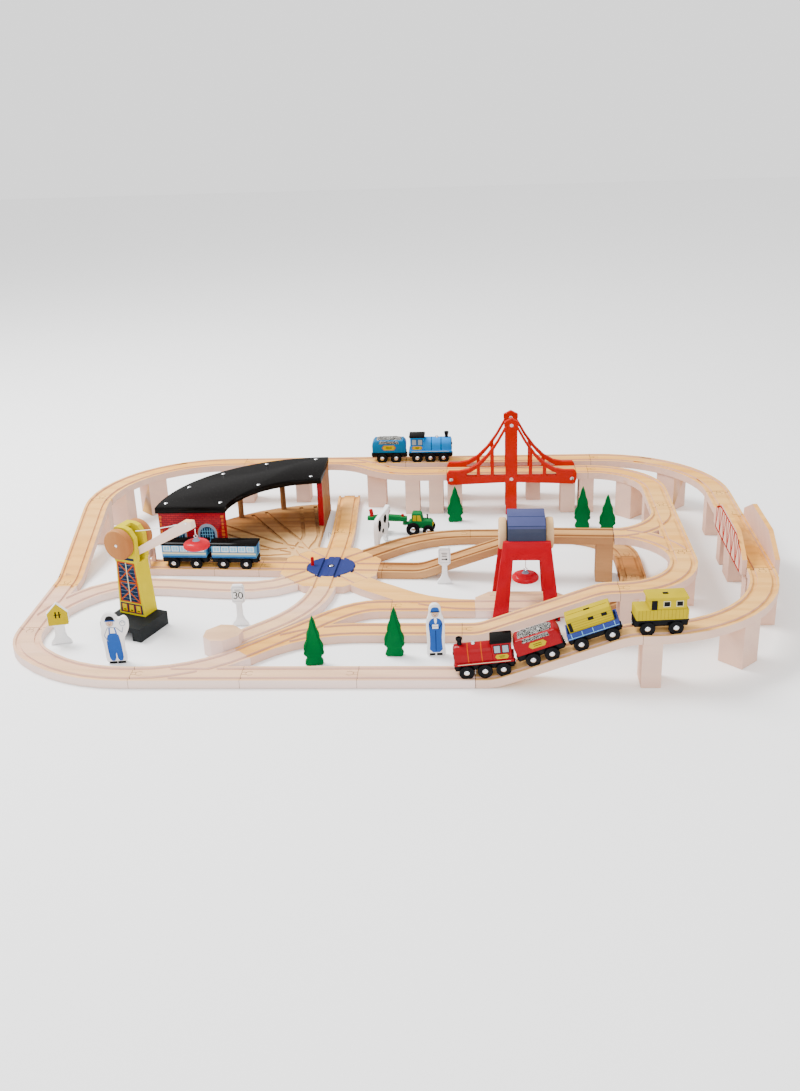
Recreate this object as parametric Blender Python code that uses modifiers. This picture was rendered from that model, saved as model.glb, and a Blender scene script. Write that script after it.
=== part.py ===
"""Wooden train set: a raised and a ground railway with a turntable, a roundhouse, two bridges,
two magnet cranes, three trains and a tractor.

Units: sizes are named in millimetres and MM turns them into Blender's metres. +Z is up, +X runs
along the long side, -Y is the near side. The origin is on the floor under the middle of the layout.
"""

import math

import bmesh
import bpy
from mathutils import Matrix, Vector

MM = 0.001
GAP = 0.3                      # clearance between pieces that touch
SQUARE = 0.5                   # straight bit that squares the end of a curved track
HAIR = 0.04                    # how far a branch's board stays inside the board it leaves

# Track section and levels
TRACK_W = 40.0
TRACK_H = 12.0
GROOVE_W = 6.6
GROOVE_D = 3.0
GROOVE_AT = 13.0               # from the centre-line to the middle of each groove
RISE = 64.0                    # height of the support blocks
BIG_R = 190.0                  # large curve, on the centre-line
SMALL_R = 105.0                # small curve
CURVE_STEP = 7.5               # degrees between the points of a curve

# Layout, on the centre-lines
SIDE_X = 530.0                 # the outer loop's right line
LEFT_X = -536.8
FRONT_Y = -353.0
BACK_Y = 353.0
CORNER_R = 205.0               # the front left corner eases from this radius to the small one
SWITCH_L = 152.0
LEFT_SWITCH_Y = FRONT_Y + CORNER_R * (1 - math.cos(math.radians(45))) + SMALL_R * math.sin(math.radians(45))
INNER_X = 426.0                # inner raised loop
INNER_BACK_Y = 287.0
INNER_FRONT_Y = -223.0
LOOP_TOP_Y = 140.0             # ground reversing loop
LOOP_BOTTOM_Y = -144.0
LOOP_RIGHT_X = 365.0

# Turntable
TABLE_X = -116.0
TABLE_Y = 4.5
TABLE_FLAT = 78.0              # centre to each of the eight faces
TABLE_TURN = -3.0              # degrees
DISC_R = 39.6

# Roundhouse: a quarter ring over a fan of tracks
HOUSE_X = -148.6
HOUSE_Y = 36.0
HOUSE_IN = 146.0
HOUSE_OUT = 256.0
HOUSE_SOUTH_Y = 44.0
ROOF_Z = 92.0
ROOF_T = 11.0

# Vehicles
WHEEL_R = 10.0
CURVE_SHIFT = 0.2               # how far a vehicle sits towards the inside of a curve
WHEEL_IN = 10.8
WHEEL_OUT = 15.2
AXLE_R = 1.5
CHASSIS_W = 19.0
DECK_Z = 21.0                  # underside of a vehicle's body above the wheels' lowest point
BODY_W = 30.0
RAIL_Z = TRACK_H - GROOVE_D + GAP

# Ramp: two arcs joined by a straight slope
RAMP_RUN = 204.0
RAMP_ANGLE = 20.0

# Tower crane
CRANE_X = -388.0
CRANE_Y = -195.0
CRANE_TURN = -22.0
CRANE_BASE_H = 21.0
TOWER_TOP = 163.0
BOOM_PIVOT = (20.0, 122.0)     # local x and z
BOOM_LIFT = 30.0
BOOM_L = 112.0
HOIST_TOP_R = 23.0

# Gantry crane
GANTRY_X = 193.0
GANTRY_FRONT_Y = -176.0
GANTRY_BACK_Y = -86.0
GANTRY_H = 126.0
GANTRY_AXLE_Z = 123.0

WOOD = (0.86, 0.70, 0.50)
PINK_WOOD = (0.88, 0.74, 0.62)
RED = (0.78, 0.05, 0.08)
BRIDGE_RED = (0.85, 0.16, 0.06)
BLUE = (0.07, 0.12, 0.45)
SKY = (0.30, 0.58, 0.82)
YELLOW = (0.93, 0.80, 0.06)
BLACK = (0.02, 0.02, 0.02)
GREEN = (0.03, 0.32, 0.10)
WHITE = (0.9, 0.9, 0.88)


for old in list(bpy.data.objects):
    bpy.data.objects.remove(old, do_unlink=True)

SET = bpy.data.collections.new("wooden_train_set")
CUTTERS = bpy.data.collections.new("cutters")
bpy.context.scene.collection.children.link(SET)
bpy.context.scene.collection.children.link(CUTTERS)


def material(name, colour, roughness=0.45, metallic=0.0):
    """One Principled material, made once for each name."""
    found = bpy.data.materials.get(name)
    if found:
        return found
    made = bpy.data.materials.new(name)
    made.use_nodes = True
    shader = made.node_tree.nodes["Principled BSDF"]
    shader.inputs["Base Color"].default_value = (*colour, 1.0)
    shader.inputs["Roughness"].default_value = roughness
    shader.inputs["Metallic"].default_value = metallic
    return made


def put(name, mesh, finish, collection=SET):
    """A new object with this mesh and material in the set."""
    made = bpy.data.objects.new(name, mesh)
    collection.objects.link(made)
    mesh.name = name
    mesh.materials.clear()
    mesh.materials.append(finish)
    return made


def from_bmesh(work):
    """The mesh of a bmesh, with its faces turned outwards."""
    bmesh.ops.recalc_face_normals(work, faces=work.faces)
    mesh = bpy.data.meshes.new("shape")
    work.to_mesh(mesh)
    work.free()
    return mesh


def box(low, high):
    """A box between two corners, in millimetres."""
    work = bmesh.new()
    size = [b - a for a, b in zip(low, high)]
    middle = [(a + b) / 2 for a, b in zip(low, high)]
    place = Matrix.Translation(Vector(middle) * MM) @ Matrix.Diagonal((*(s * MM for s in size), 1.0))
    bmesh.ops.create_cube(work, size=1.0, matrix=place)
    return from_bmesh(work)


def cylinder(centre, axis, radius, length, sides=20):
    """A cylinder about its centre, along a direction."""
    work = bmesh.new()
    turn = Vector(axis).to_track_quat("Z", "Y").to_matrix().to_4x4()
    bmesh.ops.create_cone(
        work, cap_ends=True, segments=sides, radius1=radius * MM, radius2=radius * MM,
        depth=length * MM, matrix=Matrix.Translation(Vector(centre) * MM) @ turn)
    return from_bmesh(work)


def curve_mesh(curve):
    """A curve's closed mesh, with its caps joined to its sides."""
    holder = bpy.data.objects.new("holder", curve)
    SET.objects.link(holder)
    graph = bpy.context.evaluated_depsgraph_get()
    mesh = bpy.data.meshes.new_from_object(holder.evaluated_get(graph))
    bpy.data.objects.remove(holder)
    work = bmesh.new()
    work.from_mesh(mesh)
    bmesh.ops.remove_doubles(work, verts=work.verts, dist=0.000005)
    return from_bmesh(work)


def poly_spline(curve, points, cyclic):
    """Adds a straight-sided spline through points in millimetres."""
    spline = curve.splines.new("POLY")
    spline.points.add(len(points) - 1)
    for target, point in zip(spline.points, points):
        flat = tuple(point) + (0.0,) * (3 - len(point))
        target.co = (*(value * MM for value in flat), 1.0)
    spline.use_cyclic_u = cyclic


def plate(outlines, low, high, place=None):
    """Flat outlines, the first the rim and the rest holes, extruded from low to high along Z."""
    curve = bpy.data.curves.new("outline", "CURVE")
    curve.dimensions = "2D"
    curve.fill_mode = "BOTH"
    curve.extrude = (high - low) / 2 * MM
    for outline in outlines:
        poly_spline(curve, outline, True)
    mesh = curve_mesh(curve)
    mesh.transform(Matrix.Translation((0, 0, (low + high) / 2 * MM)))
    if place:
        mesh.transform(place)
    return mesh


def upright(outlines, near, far):
    """Outlines drawn in X and Z, standing between two depths in Y."""
    stand = Matrix.Rotation(math.radians(90), 4, "X")
    return plate(outlines, -far, -near, stand)


def tube(points, radius, resolution=2):
    """A round bar along points."""
    curve = bpy.data.curves.new("tube", "CURVE")
    curve.dimensions = "3D"
    curve.bevel_depth = radius * MM
    curve.bevel_resolution = resolution
    curve.use_fill_caps = True
    poly_spline(curve, points, False)
    return curve_mesh(curve)


def turned(profile, sides):
    """A solid turned about Z from a profile of (radius, height) pairs, top to bottom."""
    work = bmesh.new()
    verts = [work.verts.new((r * MM, 0, z * MM)) for r, z in profile]
    for a, b in zip(verts, verts[1:]):
        work.edges.new((a, b))
    mesh = bpy.data.meshes.new("profile")
    work.to_mesh(mesh)
    work.free()
    holder = bpy.data.objects.new("holder", mesh)
    SET.objects.link(holder)
    screw = holder.modifiers.new("turn", "SCREW")
    screw.steps = screw.render_steps = sides
    screw.use_merge_vertices = True
    screw.merge_threshold = 0.00001
    graph = bpy.context.evaluated_depsgraph_get()
    made = bpy.data.meshes.new_from_object(holder.evaluated_get(graph))
    bpy.data.objects.remove(holder)
    work = bmesh.new()
    work.from_mesh(made)
    return from_bmesh(work)


def combine(base, others, operation, solver="EXACT"):
    """The base mesh after a Boolean with each of the others."""
    for other in others:
        first = bpy.data.objects.new("first", base)
        second = bpy.data.objects.new("second", other)
        SET.objects.link(first)
        CUTTERS.objects.link(second)
        cut = first.modifiers.new("cut", "BOOLEAN")
        cut.operation = operation
        cut.solver = solver
        cut.object = second
        graph = bpy.context.evaluated_depsgraph_get()
        base = bpy.data.meshes.new_from_object(first.evaluated_get(graph))
        bpy.data.objects.remove(first)
        bpy.data.objects.remove(second)
    return base


def union(first, *others):
    return combine(first, others, "UNION")


def cut(first, *others):
    return combine(first, others, "DIFFERENCE")


class Route:
    """A track's centre-line, walked piece by piece; the heading is in degrees from +X."""

    def __init__(self, x, y, heading, z=0.0):
        self.points = [Vector((x, y, z))]
        self.start_heading = heading
        self.heading = heading

    def ahead(self, heading=None):
        angle = math.radians(self.heading if heading is None else heading)
        return Vector((math.cos(angle), math.sin(angle), 0.0))

    def straight(self, length):
        self.points.append(self.points[-1] + self.ahead() * length)
        return self

    def curve(self, radius, degrees):
        """Turns left for positive degrees and right for negative."""
        side = 1 if degrees > 0 else -1
        steps = max(2, round(abs(degrees) / CURVE_STEP))
        left = Vector((-self.ahead().y, self.ahead().x, 0.0)) * side
        centre = self.points[-1] + left * radius
        start = self.points[-1] - centre
        for step in range(1, steps + 1):
            turn = Matrix.Rotation(math.radians(degrees * step / steps), 3, "Z")
            self.points.append(centre + turn @ start)
        self.heading += degrees
        return self

    def ramp(self, direction):
        """Climbs (direction 1) or descends (-1) by RISE over RAMP_RUN."""
        start = self.points[-1].copy()
        for run, rise in ramp_profile():
            height = rise if direction > 0 else RISE - ramp_height(RAMP_RUN - run)
            if run > 0:
                self.points.append(start + self.ahead() * run + Vector((0, 0, 0)))
                self.points[-1].z = start.z + (height if direction > 0 else -height)
        return self

    def link(self, x, y, heading, steps=8):
        """A smooth curve to a given place and heading at the same height."""
        start = self.points[-1]
        end = Vector((x, y, start.z))
        reach = (end - start).length
        leave = self.ahead() * reach
        self.heading = heading
        arrive = self.ahead() * reach
        for step in range(1, steps + 1):
            t = step / steps
            self.points.append(
                start * (2 * t**3 - 3 * t**2 + 1) + leave * (t**3 - 2 * t**2 + t)
                + end * (3 * t**2 - 2 * t**3) + arrive * (t**3 - t**2))
        return self

    def reaching(self, extra):
        """The points with both ends carried on by extra, and a short straight that squares each end."""
        start = self.ahead(self.start_heading)
        first = self.points[0] - start * extra
        last = self.points[-1] + self.ahead() * extra
        return [first, first + start * SQUARE, *self.points[1:-1], last - self.ahead() * SQUARE, last]

    def shortened(self, by):
        """The points with both ends drawn in by a small clearance."""
        return self.reaching(-by)


def ramp_height(run):
    """Height of the ramp at a distance from its foot."""
    slope = math.tan(math.radians(RAMP_ANGLE))
    bend = math.sin(math.radians(RAMP_ANGLE))
    lift = 1 - math.cos(math.radians(RAMP_ANGLE))
    radius = (slope * RAMP_RUN - RISE) / (2 * slope * bend - 2 * lift)
    if run <= radius * bend:
        return radius - math.sqrt(max(radius**2 - run**2, 0.0))
    if run >= RAMP_RUN - radius * bend:
        return RISE - radius + math.sqrt(max(radius**2 - (RAMP_RUN - run)**2, 0.0))
    return radius * lift + slope * (run - radius * bend)


def ramp_profile():
    """Distances and heights along the ramp, close together on its two bends."""
    bend = 28.0
    shares = [0.25, 0.5, 0.75, 1.0]
    runs = [0.0] + [bend * share for share in shares]
    runs += [RAMP_RUN - run for run in reversed(runs)]
    return [(run, ramp_height(run)) for run in runs]


def section(width, low, high, offset=0.0):
    return [(offset - width / 2, low), (offset + width / 2, low),
            (offset + width / 2, high), (offset - width / 2, high)]


def grooved_section():
    """The track's cross-section, with its two wheel grooves."""
    top = []
    for middle in (GROOVE_AT, -GROOVE_AT):
        top += [(middle + GROOVE_W / 2, TRACK_H), (middle + GROOVE_W / 2, TRACK_H - GROOVE_D),
                (middle - GROOVE_W / 2, TRACK_H - GROOVE_D), (middle - GROOVE_W / 2, TRACK_H)]
    half = TRACK_W / 2
    return [(-half, 0.0), (half, 0.0), (half, TRACK_H), *top, (-half, TRACK_H)]


def sweep(points, outline):
    """A closed cross-section carried along points, kept upright."""
    profile = bpy.data.curves.new("profile", "CURVE")
    profile.dimensions = "2D"
    poly_spline(profile, outline, True)
    shape = bpy.data.objects.new("profile", profile)
    CUTTERS.objects.link(shape)
    path = bpy.data.curves.new("path", "CURVE")
    path.dimensions = "3D"
    path.twist_mode = "Z_UP"
    path.bevel_mode = "OBJECT"
    path.bevel_object = shape
    path.use_fill_caps = True
    poly_spline(path, points, False)
    mesh = curve_mesh(path)
    bpy.data.objects.remove(shape)
    return mesh


def track(route):
    """A plain run of grooved track."""
    return sweep(route.shortened(GAP / 2), grooved_section())


def slab(route, inset):
    """The board under a route, drawn in by a hair so that no two boards share a face."""
    return sweep(route.shortened(GAP / 2), section(TRACK_W - 2 * inset, inset, TRACK_H - inset))


def grooves(route, inset=0.0):
    """The two cutters for a route's wheel grooves."""
    outlines = [section(GROOVE_W - 2 * inset, TRACK_H - GROOVE_D + inset, TRACK_H + 2, side)
                for side in (GROOVE_AT, -GROOVE_AT)]
    return [sweep(route.reaching(1.0 + inset), outline) for outline in outlines]


def junction(*routes, extras=(), solver="EXACT"):
    """Tracks that part from one another, as one board with all their grooves."""
    boards = [slab(route, HAIR * order) for order, route in enumerate(routes)]
    board = combine(boards[0], [*boards[1:], *extras], "UNION", solver)
    cutters = [cutter for order, route in enumerate(routes) for cutter in grooves(route, HAIR * order)]
    return combine(board, cutters, "DIFFERENCE", solver)


def support(x, y, angle=0.0, length=26.0, height=RISE):
    """A wooden block under a raised track; it reaches a little into the track it is joined to."""
    block = box((-length / 2, -19.0, 0.0), (length / 2, 19.0, height + 1.5))
    block.transform(Matrix.Translation((x * MM, y * MM, 0)) @ Matrix.Rotation(math.radians(angle), 4, "Z"))
    return block


def on_turntable(turn):
    """Centre of a turntable face and the heading that leaves it."""
    angle = math.radians(turn + TABLE_TURN)
    reach = TABLE_FLAT + GAP
    return (TABLE_X + math.cos(angle) * reach, TABLE_Y + math.sin(angle) * reach, turn + TABLE_TURN)


def make_ground_tracks():
    wood = material("beech", WOOD)
    pink = material("beech_pink", PINK_WOOD)

    main = Route(LEFT_X, LEFT_SWITCH_Y + SWITCH_L, 270).straight(SWITCH_L).curve(SMALL_R, 45).curve(CORNER_R, 45)
    corner_end = main.points[-1].x
    main.straight(118 - corner_end)
    x, y, heading = on_turntable(225)
    west_branch = Route(LEFT_X, LEFT_SWITCH_Y, 90).curve(BIG_R, -45).link(x - 0.5, y - 0.5, heading - 180, 10)
    front_branch = Route(corner_end + 12, FRONT_Y, 0).curve(200, 45)
    put("front_left_track", junction(main, west_branch, front_branch, solver="MANIFOLD"), wood)

    stem = front_branch.points[-1]
    lower = Route(stem.x + 1, stem.y + 1, 45).straight(19).curve(198, -45)
    lower.link(99, INNER_FRONT_Y, 0, 3)
    upper = Route(stem.x, stem.y, 45).straight(110).link(-27, LOOP_BOTTOM_Y, 0, 8).straight(145)
    x, y, heading = on_turntable(-45)
    away = Route(117, LOOP_BOTTOM_Y, 180).curve(BIG_R, -40).link(x, y, heading + 180, 4)
    put("centre_switch_track", junction(upper, lower, away), wood)

    x, y, heading = on_turntable(45)
    loop = Route(x, y, heading).straight(51)
    loop.curve(BIG_R, -heading)
    loop.link(LOOP_RIGHT_X - SMALL_R, LOOP_TOP_Y, 0, 3).curve(SMALL_R, -90)
    loop.straight(LOOP_TOP_Y - LOOP_BOTTOM_Y - 2 * SMALL_R).curve(SMALL_R, -90)
    put("reversing_loop_track", track(loop), pink)

    make_platform(pink)

    x, y, heading = on_turntable(180)
    west = Route(x, y, heading).straight(232)
    ends = buffer_stop(west.points[-1], heading)
    put("west_track", union(track(west), *ends), pink)

    x, y, heading = on_turntable(90)
    put("north_track", track(Route(x, y, heading).link(-118, 336, 91, 4)), wood)

    x, y, heading = on_turntable(270)
    spur = Route(x, y, heading).curve(200, -42).straight(78)
    end = spur.points[-1]
    block = plate([[(-6, -26), (20, -26), (34, -12), (34, 6), (22, 19), (-4, 21), (-18, 12), (-18, -12)]],
                  0.0, 28.0)
    block.transform(Matrix.Translation((end.x * MM, end.y * MM, 0)) @ Matrix.Rotation(math.radians(225), 4, "Z"))
    put("spur_track", junction(spur, extras=[block], solver="MANIFOLD"), wood)

    x, y, heading = on_turntable(0)
    east = Route(x, y, heading).straight(56).ramp(1)
    east.straight(334 - east.points[-1].x)
    last = east.points[-1]
    put("east_ramp_track", junction(east, extras=[support(last.x - 13, last.y + 0.5, heading)]), wood)


def make_platform(finish):
    """The board beside the loop that the gantry stands over."""
    left, right = LOOP_RIGHT_X - SMALL_R - 143, LOOP_RIGHT_X - SMALL_R - GAP
    near, far = LOOP_BOTTOM_Y - 20, LOOP_BOTTOM_Y + 48
    board = plate([[(left + 1, near), (right, near), (right, far - 20), (right - 22, far),
                    (left + 22, far), (left + 1, far - 20)]], 0.0, TRACK_H)
    slots = [box((left - 2, y - GROOVE_W / 2, TRACK_H - GROOVE_D), (right + 2, y + GROOVE_W / 2, TRACK_H + 2))
             for y in (LOOP_BOTTOM_Y - GROOVE_AT, LOOP_BOTTOM_Y + GROOVE_AT)]
    slots.append(box((left + 24, far - 16, TRACK_H - 1.5), (right - 24, far - 12, TRACK_H + 2)))
    put("gantry_platform", cut(board, *slots), finish)


def buffer_stop(end, heading):
    """Two posts and a cross board at the end of the siding."""
    place = Matrix.Translation((end.x * MM, end.y * MM, 0)) @ Matrix.Rotation(math.radians(heading), 4, "Z")
    shapes = [box((-12, side - 3, TRACK_H - 4), (-5, side + 3, 34)) for side in (-15, 15)]
    shapes.append(box((-9.5, -24, 24), (-3.5, 24, 38)))
    for shape in shapes:
        shape.transform(place)
    return shapes


def make_raised_tracks():
    wood = material("beech", WOOD)
    pink = material("beech_pink", PINK_WOOD)
    corner = SIDE_X - BIG_R

    front = Route(118, FRONT_Y, 0).straight(12).ramp(1)
    front.straight(corner - front.points[-1].x).curve(BIG_R, 90).straight(5)
    blocks = [support(347, FRONT_Y), support(corner + 134, FRONT_Y + BIG_R - 134, 45, 36),
              support(SIDE_X, FRONT_Y + BIG_R - 14, 90)]
    put("front_ramp_track", junction(front, extras=blocks), wood)

    near, far = FRONT_Y + BIG_R + 5, 54.0
    deck = Route(SIDE_X, near, 90, RISE).straight(far - near)
    rail = [[(near + 0.5, RISE + 0.2), (far - 0.5, RISE + 0.2), (far - 0.5, RISE + 24), (far - 52, RISE + 50),
             (near + 52, RISE + 50), (near + 0.5, RISE + 24)]]
    turn = Matrix.Rotation(math.radians(90), 4, "Z")
    walls = []
    for side in (-1, 1):
        wall = upright(rail, -3.5, 3.5)
        wall.transform(turn)
        wall.transform(Matrix.Translation(((SIDE_X + side * (TRACK_W / 2 + 3.3)) * MM, 0, 0)))
        walls.append(wall)
    blocks = [support(SIDE_X, near + 14, 90), support(SIDE_X, far - 14, 90), support(SIDE_X, -20, 90, 40)]
    put("walled_bridge", junction(deck, extras=(*walls, *blocks)), wood)

    back = Route(SIDE_X, far, 90, RISE).straight(BACK_Y - BIG_R - far).curve(BIG_R, 90)
    back.straight(corner - LEFT_X - BIG_R).curve(BIG_R, 90).straight(8).ramp(-1)
    back.straight(back.points[-1].y - LEFT_SWITCH_Y - SWITCH_L)
    bend = (BACK_Y - INNER_BACK_Y) / 2 / (1 - math.cos(math.radians(45)))
    switch = Route(-150, BACK_Y, 0, RISE).curve(bend, -45).curve(bend, 45)
    switch.straight(68 - switch.points[-1].x)
    blocks = [support(SIDE_X, 165, 90), support(corner + 134, BACK_Y - BIG_R + 134, 45, 36),
              support(227, BACK_Y), support(80, BACK_Y), support(-206, BACK_Y), support(-313, BACK_Y),
              support(LEFT_X + BIG_R - 134, BACK_Y - BIG_R + 134, 135, 36), support(LEFT_X + 14, 235, 72),
              support(LEFT_X, 146, 90, 22, RISE - 1), support(5, INNER_BACK_Y), support(48, INNER_BACK_Y)]
    joint = box((-80, 304, 0), (-46, 342, RISE + 1.5))
    put("back_raised_track", junction(back, switch, extras=(*blocks, joint), solver="MANIFOLD"), pink)

    inner = Route(300, INNER_BACK_Y, 0, RISE).straight(INNER_X - SMALL_R - 300).curve(SMALL_R, -90)
    inner.straight(INNER_BACK_Y - INNER_FRONT_Y - 2 * SMALL_R).curve(SMALL_R, -90).straight(6).ramp(-1)
    inner.straight(inner.points[-1].x - 99)
    _, exit_y, exit_turn = on_turntable(0)
    exit_y = exit_y + (334 - TABLE_X - TABLE_FLAT) * math.tan(math.radians(TABLE_TURN))
    branches = [Route(start, exit_y, exit_turn, RISE).link(INNER_X, exit_y + side * 94, side * 90, 8)
                for side, start in ((1, 335.2), (-1, 343.0))]
    blocks = [support(319, INNER_BACK_Y), support(INNER_X - SMALL_R + 74, INNER_BACK_Y - SMALL_R + 74, -45, 34),
              support(INNER_X, 170, 90), support(INNER_X, -112, 90), support(333, INNER_FRONT_Y)]
    put("inner_raised_track", junction(inner, *branches, extras=blocks, solver="MANIFOLD"), wood)


def parabola(x, foot, top, low, high):
    """Height of a hanging cable that is level at its foot."""
    share = (x - foot) / (top - foot)
    return low + (high - low) * share**2


def make_suspension_bridge():
    red = material("bridge_red", BRIDGE_RED)
    left, right, middle = 68.0, 300.0, 184.0
    deck = Route(left, INNER_BACK_Y, 0, RISE).straight(right - left)
    legs = [support(left + 14, INNER_BACK_Y), support(right - 14, INNER_BACK_Y)]
    put("suspension_deck", junction(deck, extras=legs), material("beech", WOOD))

    rim = [(left + 2, 60), (left + 8, 58), (middle - 10, 62), (middle - 10, 0), (middle + 10, 0),
           (middle + 10, 62), (right - 8, 58), (right - 2, 60), (right, 66), (right, 78), (right - 4, 84)]
    steps = [0.0, 0.2, 0.4, 0.6, 0.8, 1.0]
    foot_right, foot_left, tower_left, tower_right = right - 22, left + 22, middle - 10, middle + 10
    rim += [(foot_right + (tower_right - foot_right) * t, 84 + 84 * t**2) for t in steps]
    rim += [(middle + 13, 166), (middle + 13, 174), (middle, 181), (middle - 13, 174), (middle - 13, 166)]
    rim += [(foot_left + (tower_left - foot_left) * t, 84 + 84 * t**2) for t in reversed(steps)]
    rim += [(left + 4, 84), (left, 78), (left, 66)]

    def opening(start, stop, foot, tower):
        """A window between the lower chord and the cable."""
        under = [start + (stop - start) * t for t in (0.0, 0.5, 1.0)]
        heights = [(x, max(parabola(x, foot, tower, 84, 168) - 7.5, 75.5)) for x in under]
        return [(start, 74.5), (stop, 74.5), *reversed(heights)]

    holes = []
    for foot, tower, sign in ((foot_left, tower_left, 1), (foot_right, tower_right, -1)):
        for low, high in ((14, 32), (38, 57), (63, 83.5)):
            start, stop = foot + sign * low, foot + sign * high
            holes.append(opening(min(start, stop), max(start, stop), foot, tower))
    for name, near in (("bridge_truss_front", INNER_BACK_Y - 20 - GAP - 8), ("bridge_truss_back", INNER_BACK_Y + 20 + GAP)):
        put(name, upright([rim, *holes], near, near + 8), red)


def make_turntable():
    wood = material("beech", WOOD)
    work = bmesh.new()
    corner_r = TABLE_FLAT / math.cos(math.radians(22.5))
    bmesh.ops.create_cone(work, cap_ends=True, segments=8, radius1=corner_r * MM, radius2=corner_r * MM,
                          depth=TRACK_H * MM, matrix=Matrix.Translation((0, 0, TRACK_H / 2 * MM))
                          @ Matrix.Rotation(math.radians(22.5), 4, "Z"))
    base = from_bmesh(work)
    base = cut(base, cylinder((0, 0, 9), (0, 0, 1), DISC_R + 0.4, 10, 40))
    for turn in range(0, 360, 45):
        spoke = Matrix.Rotation(math.radians(turn), 4, "Z")
        cutters = [box((36, side - GROOVE_W / 2, TRACK_H - GROOVE_D), (82, side + GROOVE_W / 2, TRACK_H + 2))
                   for side in (-GROOVE_AT, GROOVE_AT)]
        for cutter in cutters:
            cutter.transform(spoke)
        base = cut(base, *cutters)
    place = Matrix.Translation((TABLE_X * MM, TABLE_Y * MM, 0)) @ Matrix.Rotation(math.radians(TABLE_TURN), 4, "Z")
    base.transform(place)
    put("turntable_base", base, wood)

    disc = cylinder((0, 0, (4.0 + GAP + TRACK_H) / 2), (0, 0, 1), DISC_R, TRACK_H - 4.0 - GAP, 40)
    lanes = [box((side - GROOVE_W / 2, -45, TRACK_H - GROOVE_D), (side + GROOVE_W / 2, 45, TRACK_H + 2))
             for side in (-GROOVE_AT, GROOVE_AT)]
    disc = union(cut(disc, *lanes), cylinder((-31, 2, 16), (0, 0, 1), 2.6, 22, 10))
    spin = put("turntable_disc", disc, material("disc_blue", BLUE))
    spin.matrix_world = place


def ring_outline(inner, outer, south, east, steps=12):
    """A quarter ring about the roundhouse centre, cut straight at its south and east ends."""
    def arc(radius, reverse):
        low = math.pi - math.asin((south - HOUSE_Y) / radius)
        high = math.pi / 2 + math.asin((HOUSE_X - east) / radius)
        angles = [low + (high - low) * k / steps for k in range(steps + 1)]
        found = [(HOUSE_X + radius * math.cos(a), HOUSE_Y + radius * math.sin(a)) for a in angles]
        return found[::-1] if reverse else found
    return arc(outer, False) + arc(inner, True)


def make_roundhouse():
    corner_r = TABLE_FLAT / math.cos(math.radians(22.5))
    flats = []
    for turn in (112.5, 157.5):
        angle = math.radians(turn + TABLE_TURN)
        flats.append((TABLE_X + math.cos(angle) * (corner_r + 0.8), TABLE_Y + math.sin(angle) * (corner_r + 0.8)))
    outer = ring_outline(HOUSE_IN, HOUSE_OUT, HOUSE_SOUTH_Y, HOUSE_X)[:13]
    rim = [*outer, (HOUSE_X, flats[0][1] + 2), flats[0], flats[1], (flats[1][0] - 12, HOUSE_SOUTH_Y)]
    floor = plate([rim], 0.0, TRACK_H)
    middle = Vector((TABLE_X, TABLE_Y, 0))
    start = math.radians(135 + TABLE_TURN)
    cutters = []
    for stall in (99.5, 121.0, 142.5, 164.0):
        angle = math.radians(stall)
        ahead = Vector((math.cos(angle), math.sin(angle), 0))
        mouth = Vector((HOUSE_X, HOUSE_Y, 0)) + ahead * 105
        heading = math.degrees(start)
        route = Route(middle.x + math.cos(start) * (TABLE_FLAT - 1), middle.y + math.sin(start) * (TABLE_FLAT - 1), heading)
        route.link(mouth.x, mouth.y, stall, 4).straight(140)
        cutters += grooves(route, HAIR * len(cutters))
    floor = cut(floor, *cutters)
    south = box((HOUSE_X - HOUSE_OUT + 0.8, HOUSE_SOUTH_Y + 0.5, TRACK_H - 4), (HOUSE_X - HOUSE_IN, HOUSE_SOUTH_Y + 7.5, ROOF_Z))
    east = box((HOUSE_X - 7.5, HOUSE_Y + HOUSE_IN + 2, TRACK_H - 4), (HOUSE_X - 0.5, HOUSE_Y + HOUSE_OUT - 1, ROOF_Z))
    posts = []
    for stall in (110.0, 129.0, 148.0):
        angle = math.radians(stall)
        x = HOUSE_X + math.cos(angle) * (HOUSE_OUT - 8)
        y = HOUSE_Y + math.sin(angle) * (HOUSE_OUT - 8)
        posts.append(cylinder((x, y, (TRACK_H - 4 + ROOF_Z) / 2), (0, 0, 1), 5, ROOF_Z - TRACK_H + 4, 8))
    put("roundhouse_walls", union(floor, south, east, *posts), material("house_brown", (0.45, 0.24, 0.12)))
    roof = plate([ring_outline(HOUSE_IN - 4, HOUSE_OUT + 3, HOUSE_SOUTH_Y - 3, HOUSE_X)], ROOF_Z + GAP, ROOF_Z + GAP + ROOF_T)
    put("roundhouse_roof", roof, material("gloss_black", BLACK, 0.15))


def axle_slots(axles):
    return [box((x - 2.0, -12, 4), (x + 2.0, 12, WHEEL_R + AXLE_R + 0.5)) for x in axles]


def chassis(length, axles):
    """The block between the wheels, with its axle slots and the magnet at each end."""
    block = box((-length / 2, -CHASSIS_W / 2, 9.0), (length / 2, CHASSIS_W / 2, DECK_Z + 0.6))
    block = cut(block, *axle_slots(axles))
    pins = [cylinder((side * (length / 2 + 0.7), 0, 14), (1, 0, 0), 3.6, 3.0, 10) for side in (-1, 1)]
    return union(block, *pins)


def roofed(half_length, half_width, low, high, crown):
    """A body whose top is a shallow arch across its width."""
    profile = [(-half_width, low), (half_width, low), (half_width, high)]
    profile += [(half_width * math.cos(a), high + crown * math.sin(a)) for a in (0.52, 1.05, 1.57, 2.09, 2.62)]
    profile.append((-half_width, high))
    mesh = plate([profile], -half_length, half_length)
    mesh.transform(Matrix.Rotation(math.radians(90), 4, "Z") @ Matrix.Rotation(math.radians(90), 4, "X"))
    return mesh


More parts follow.
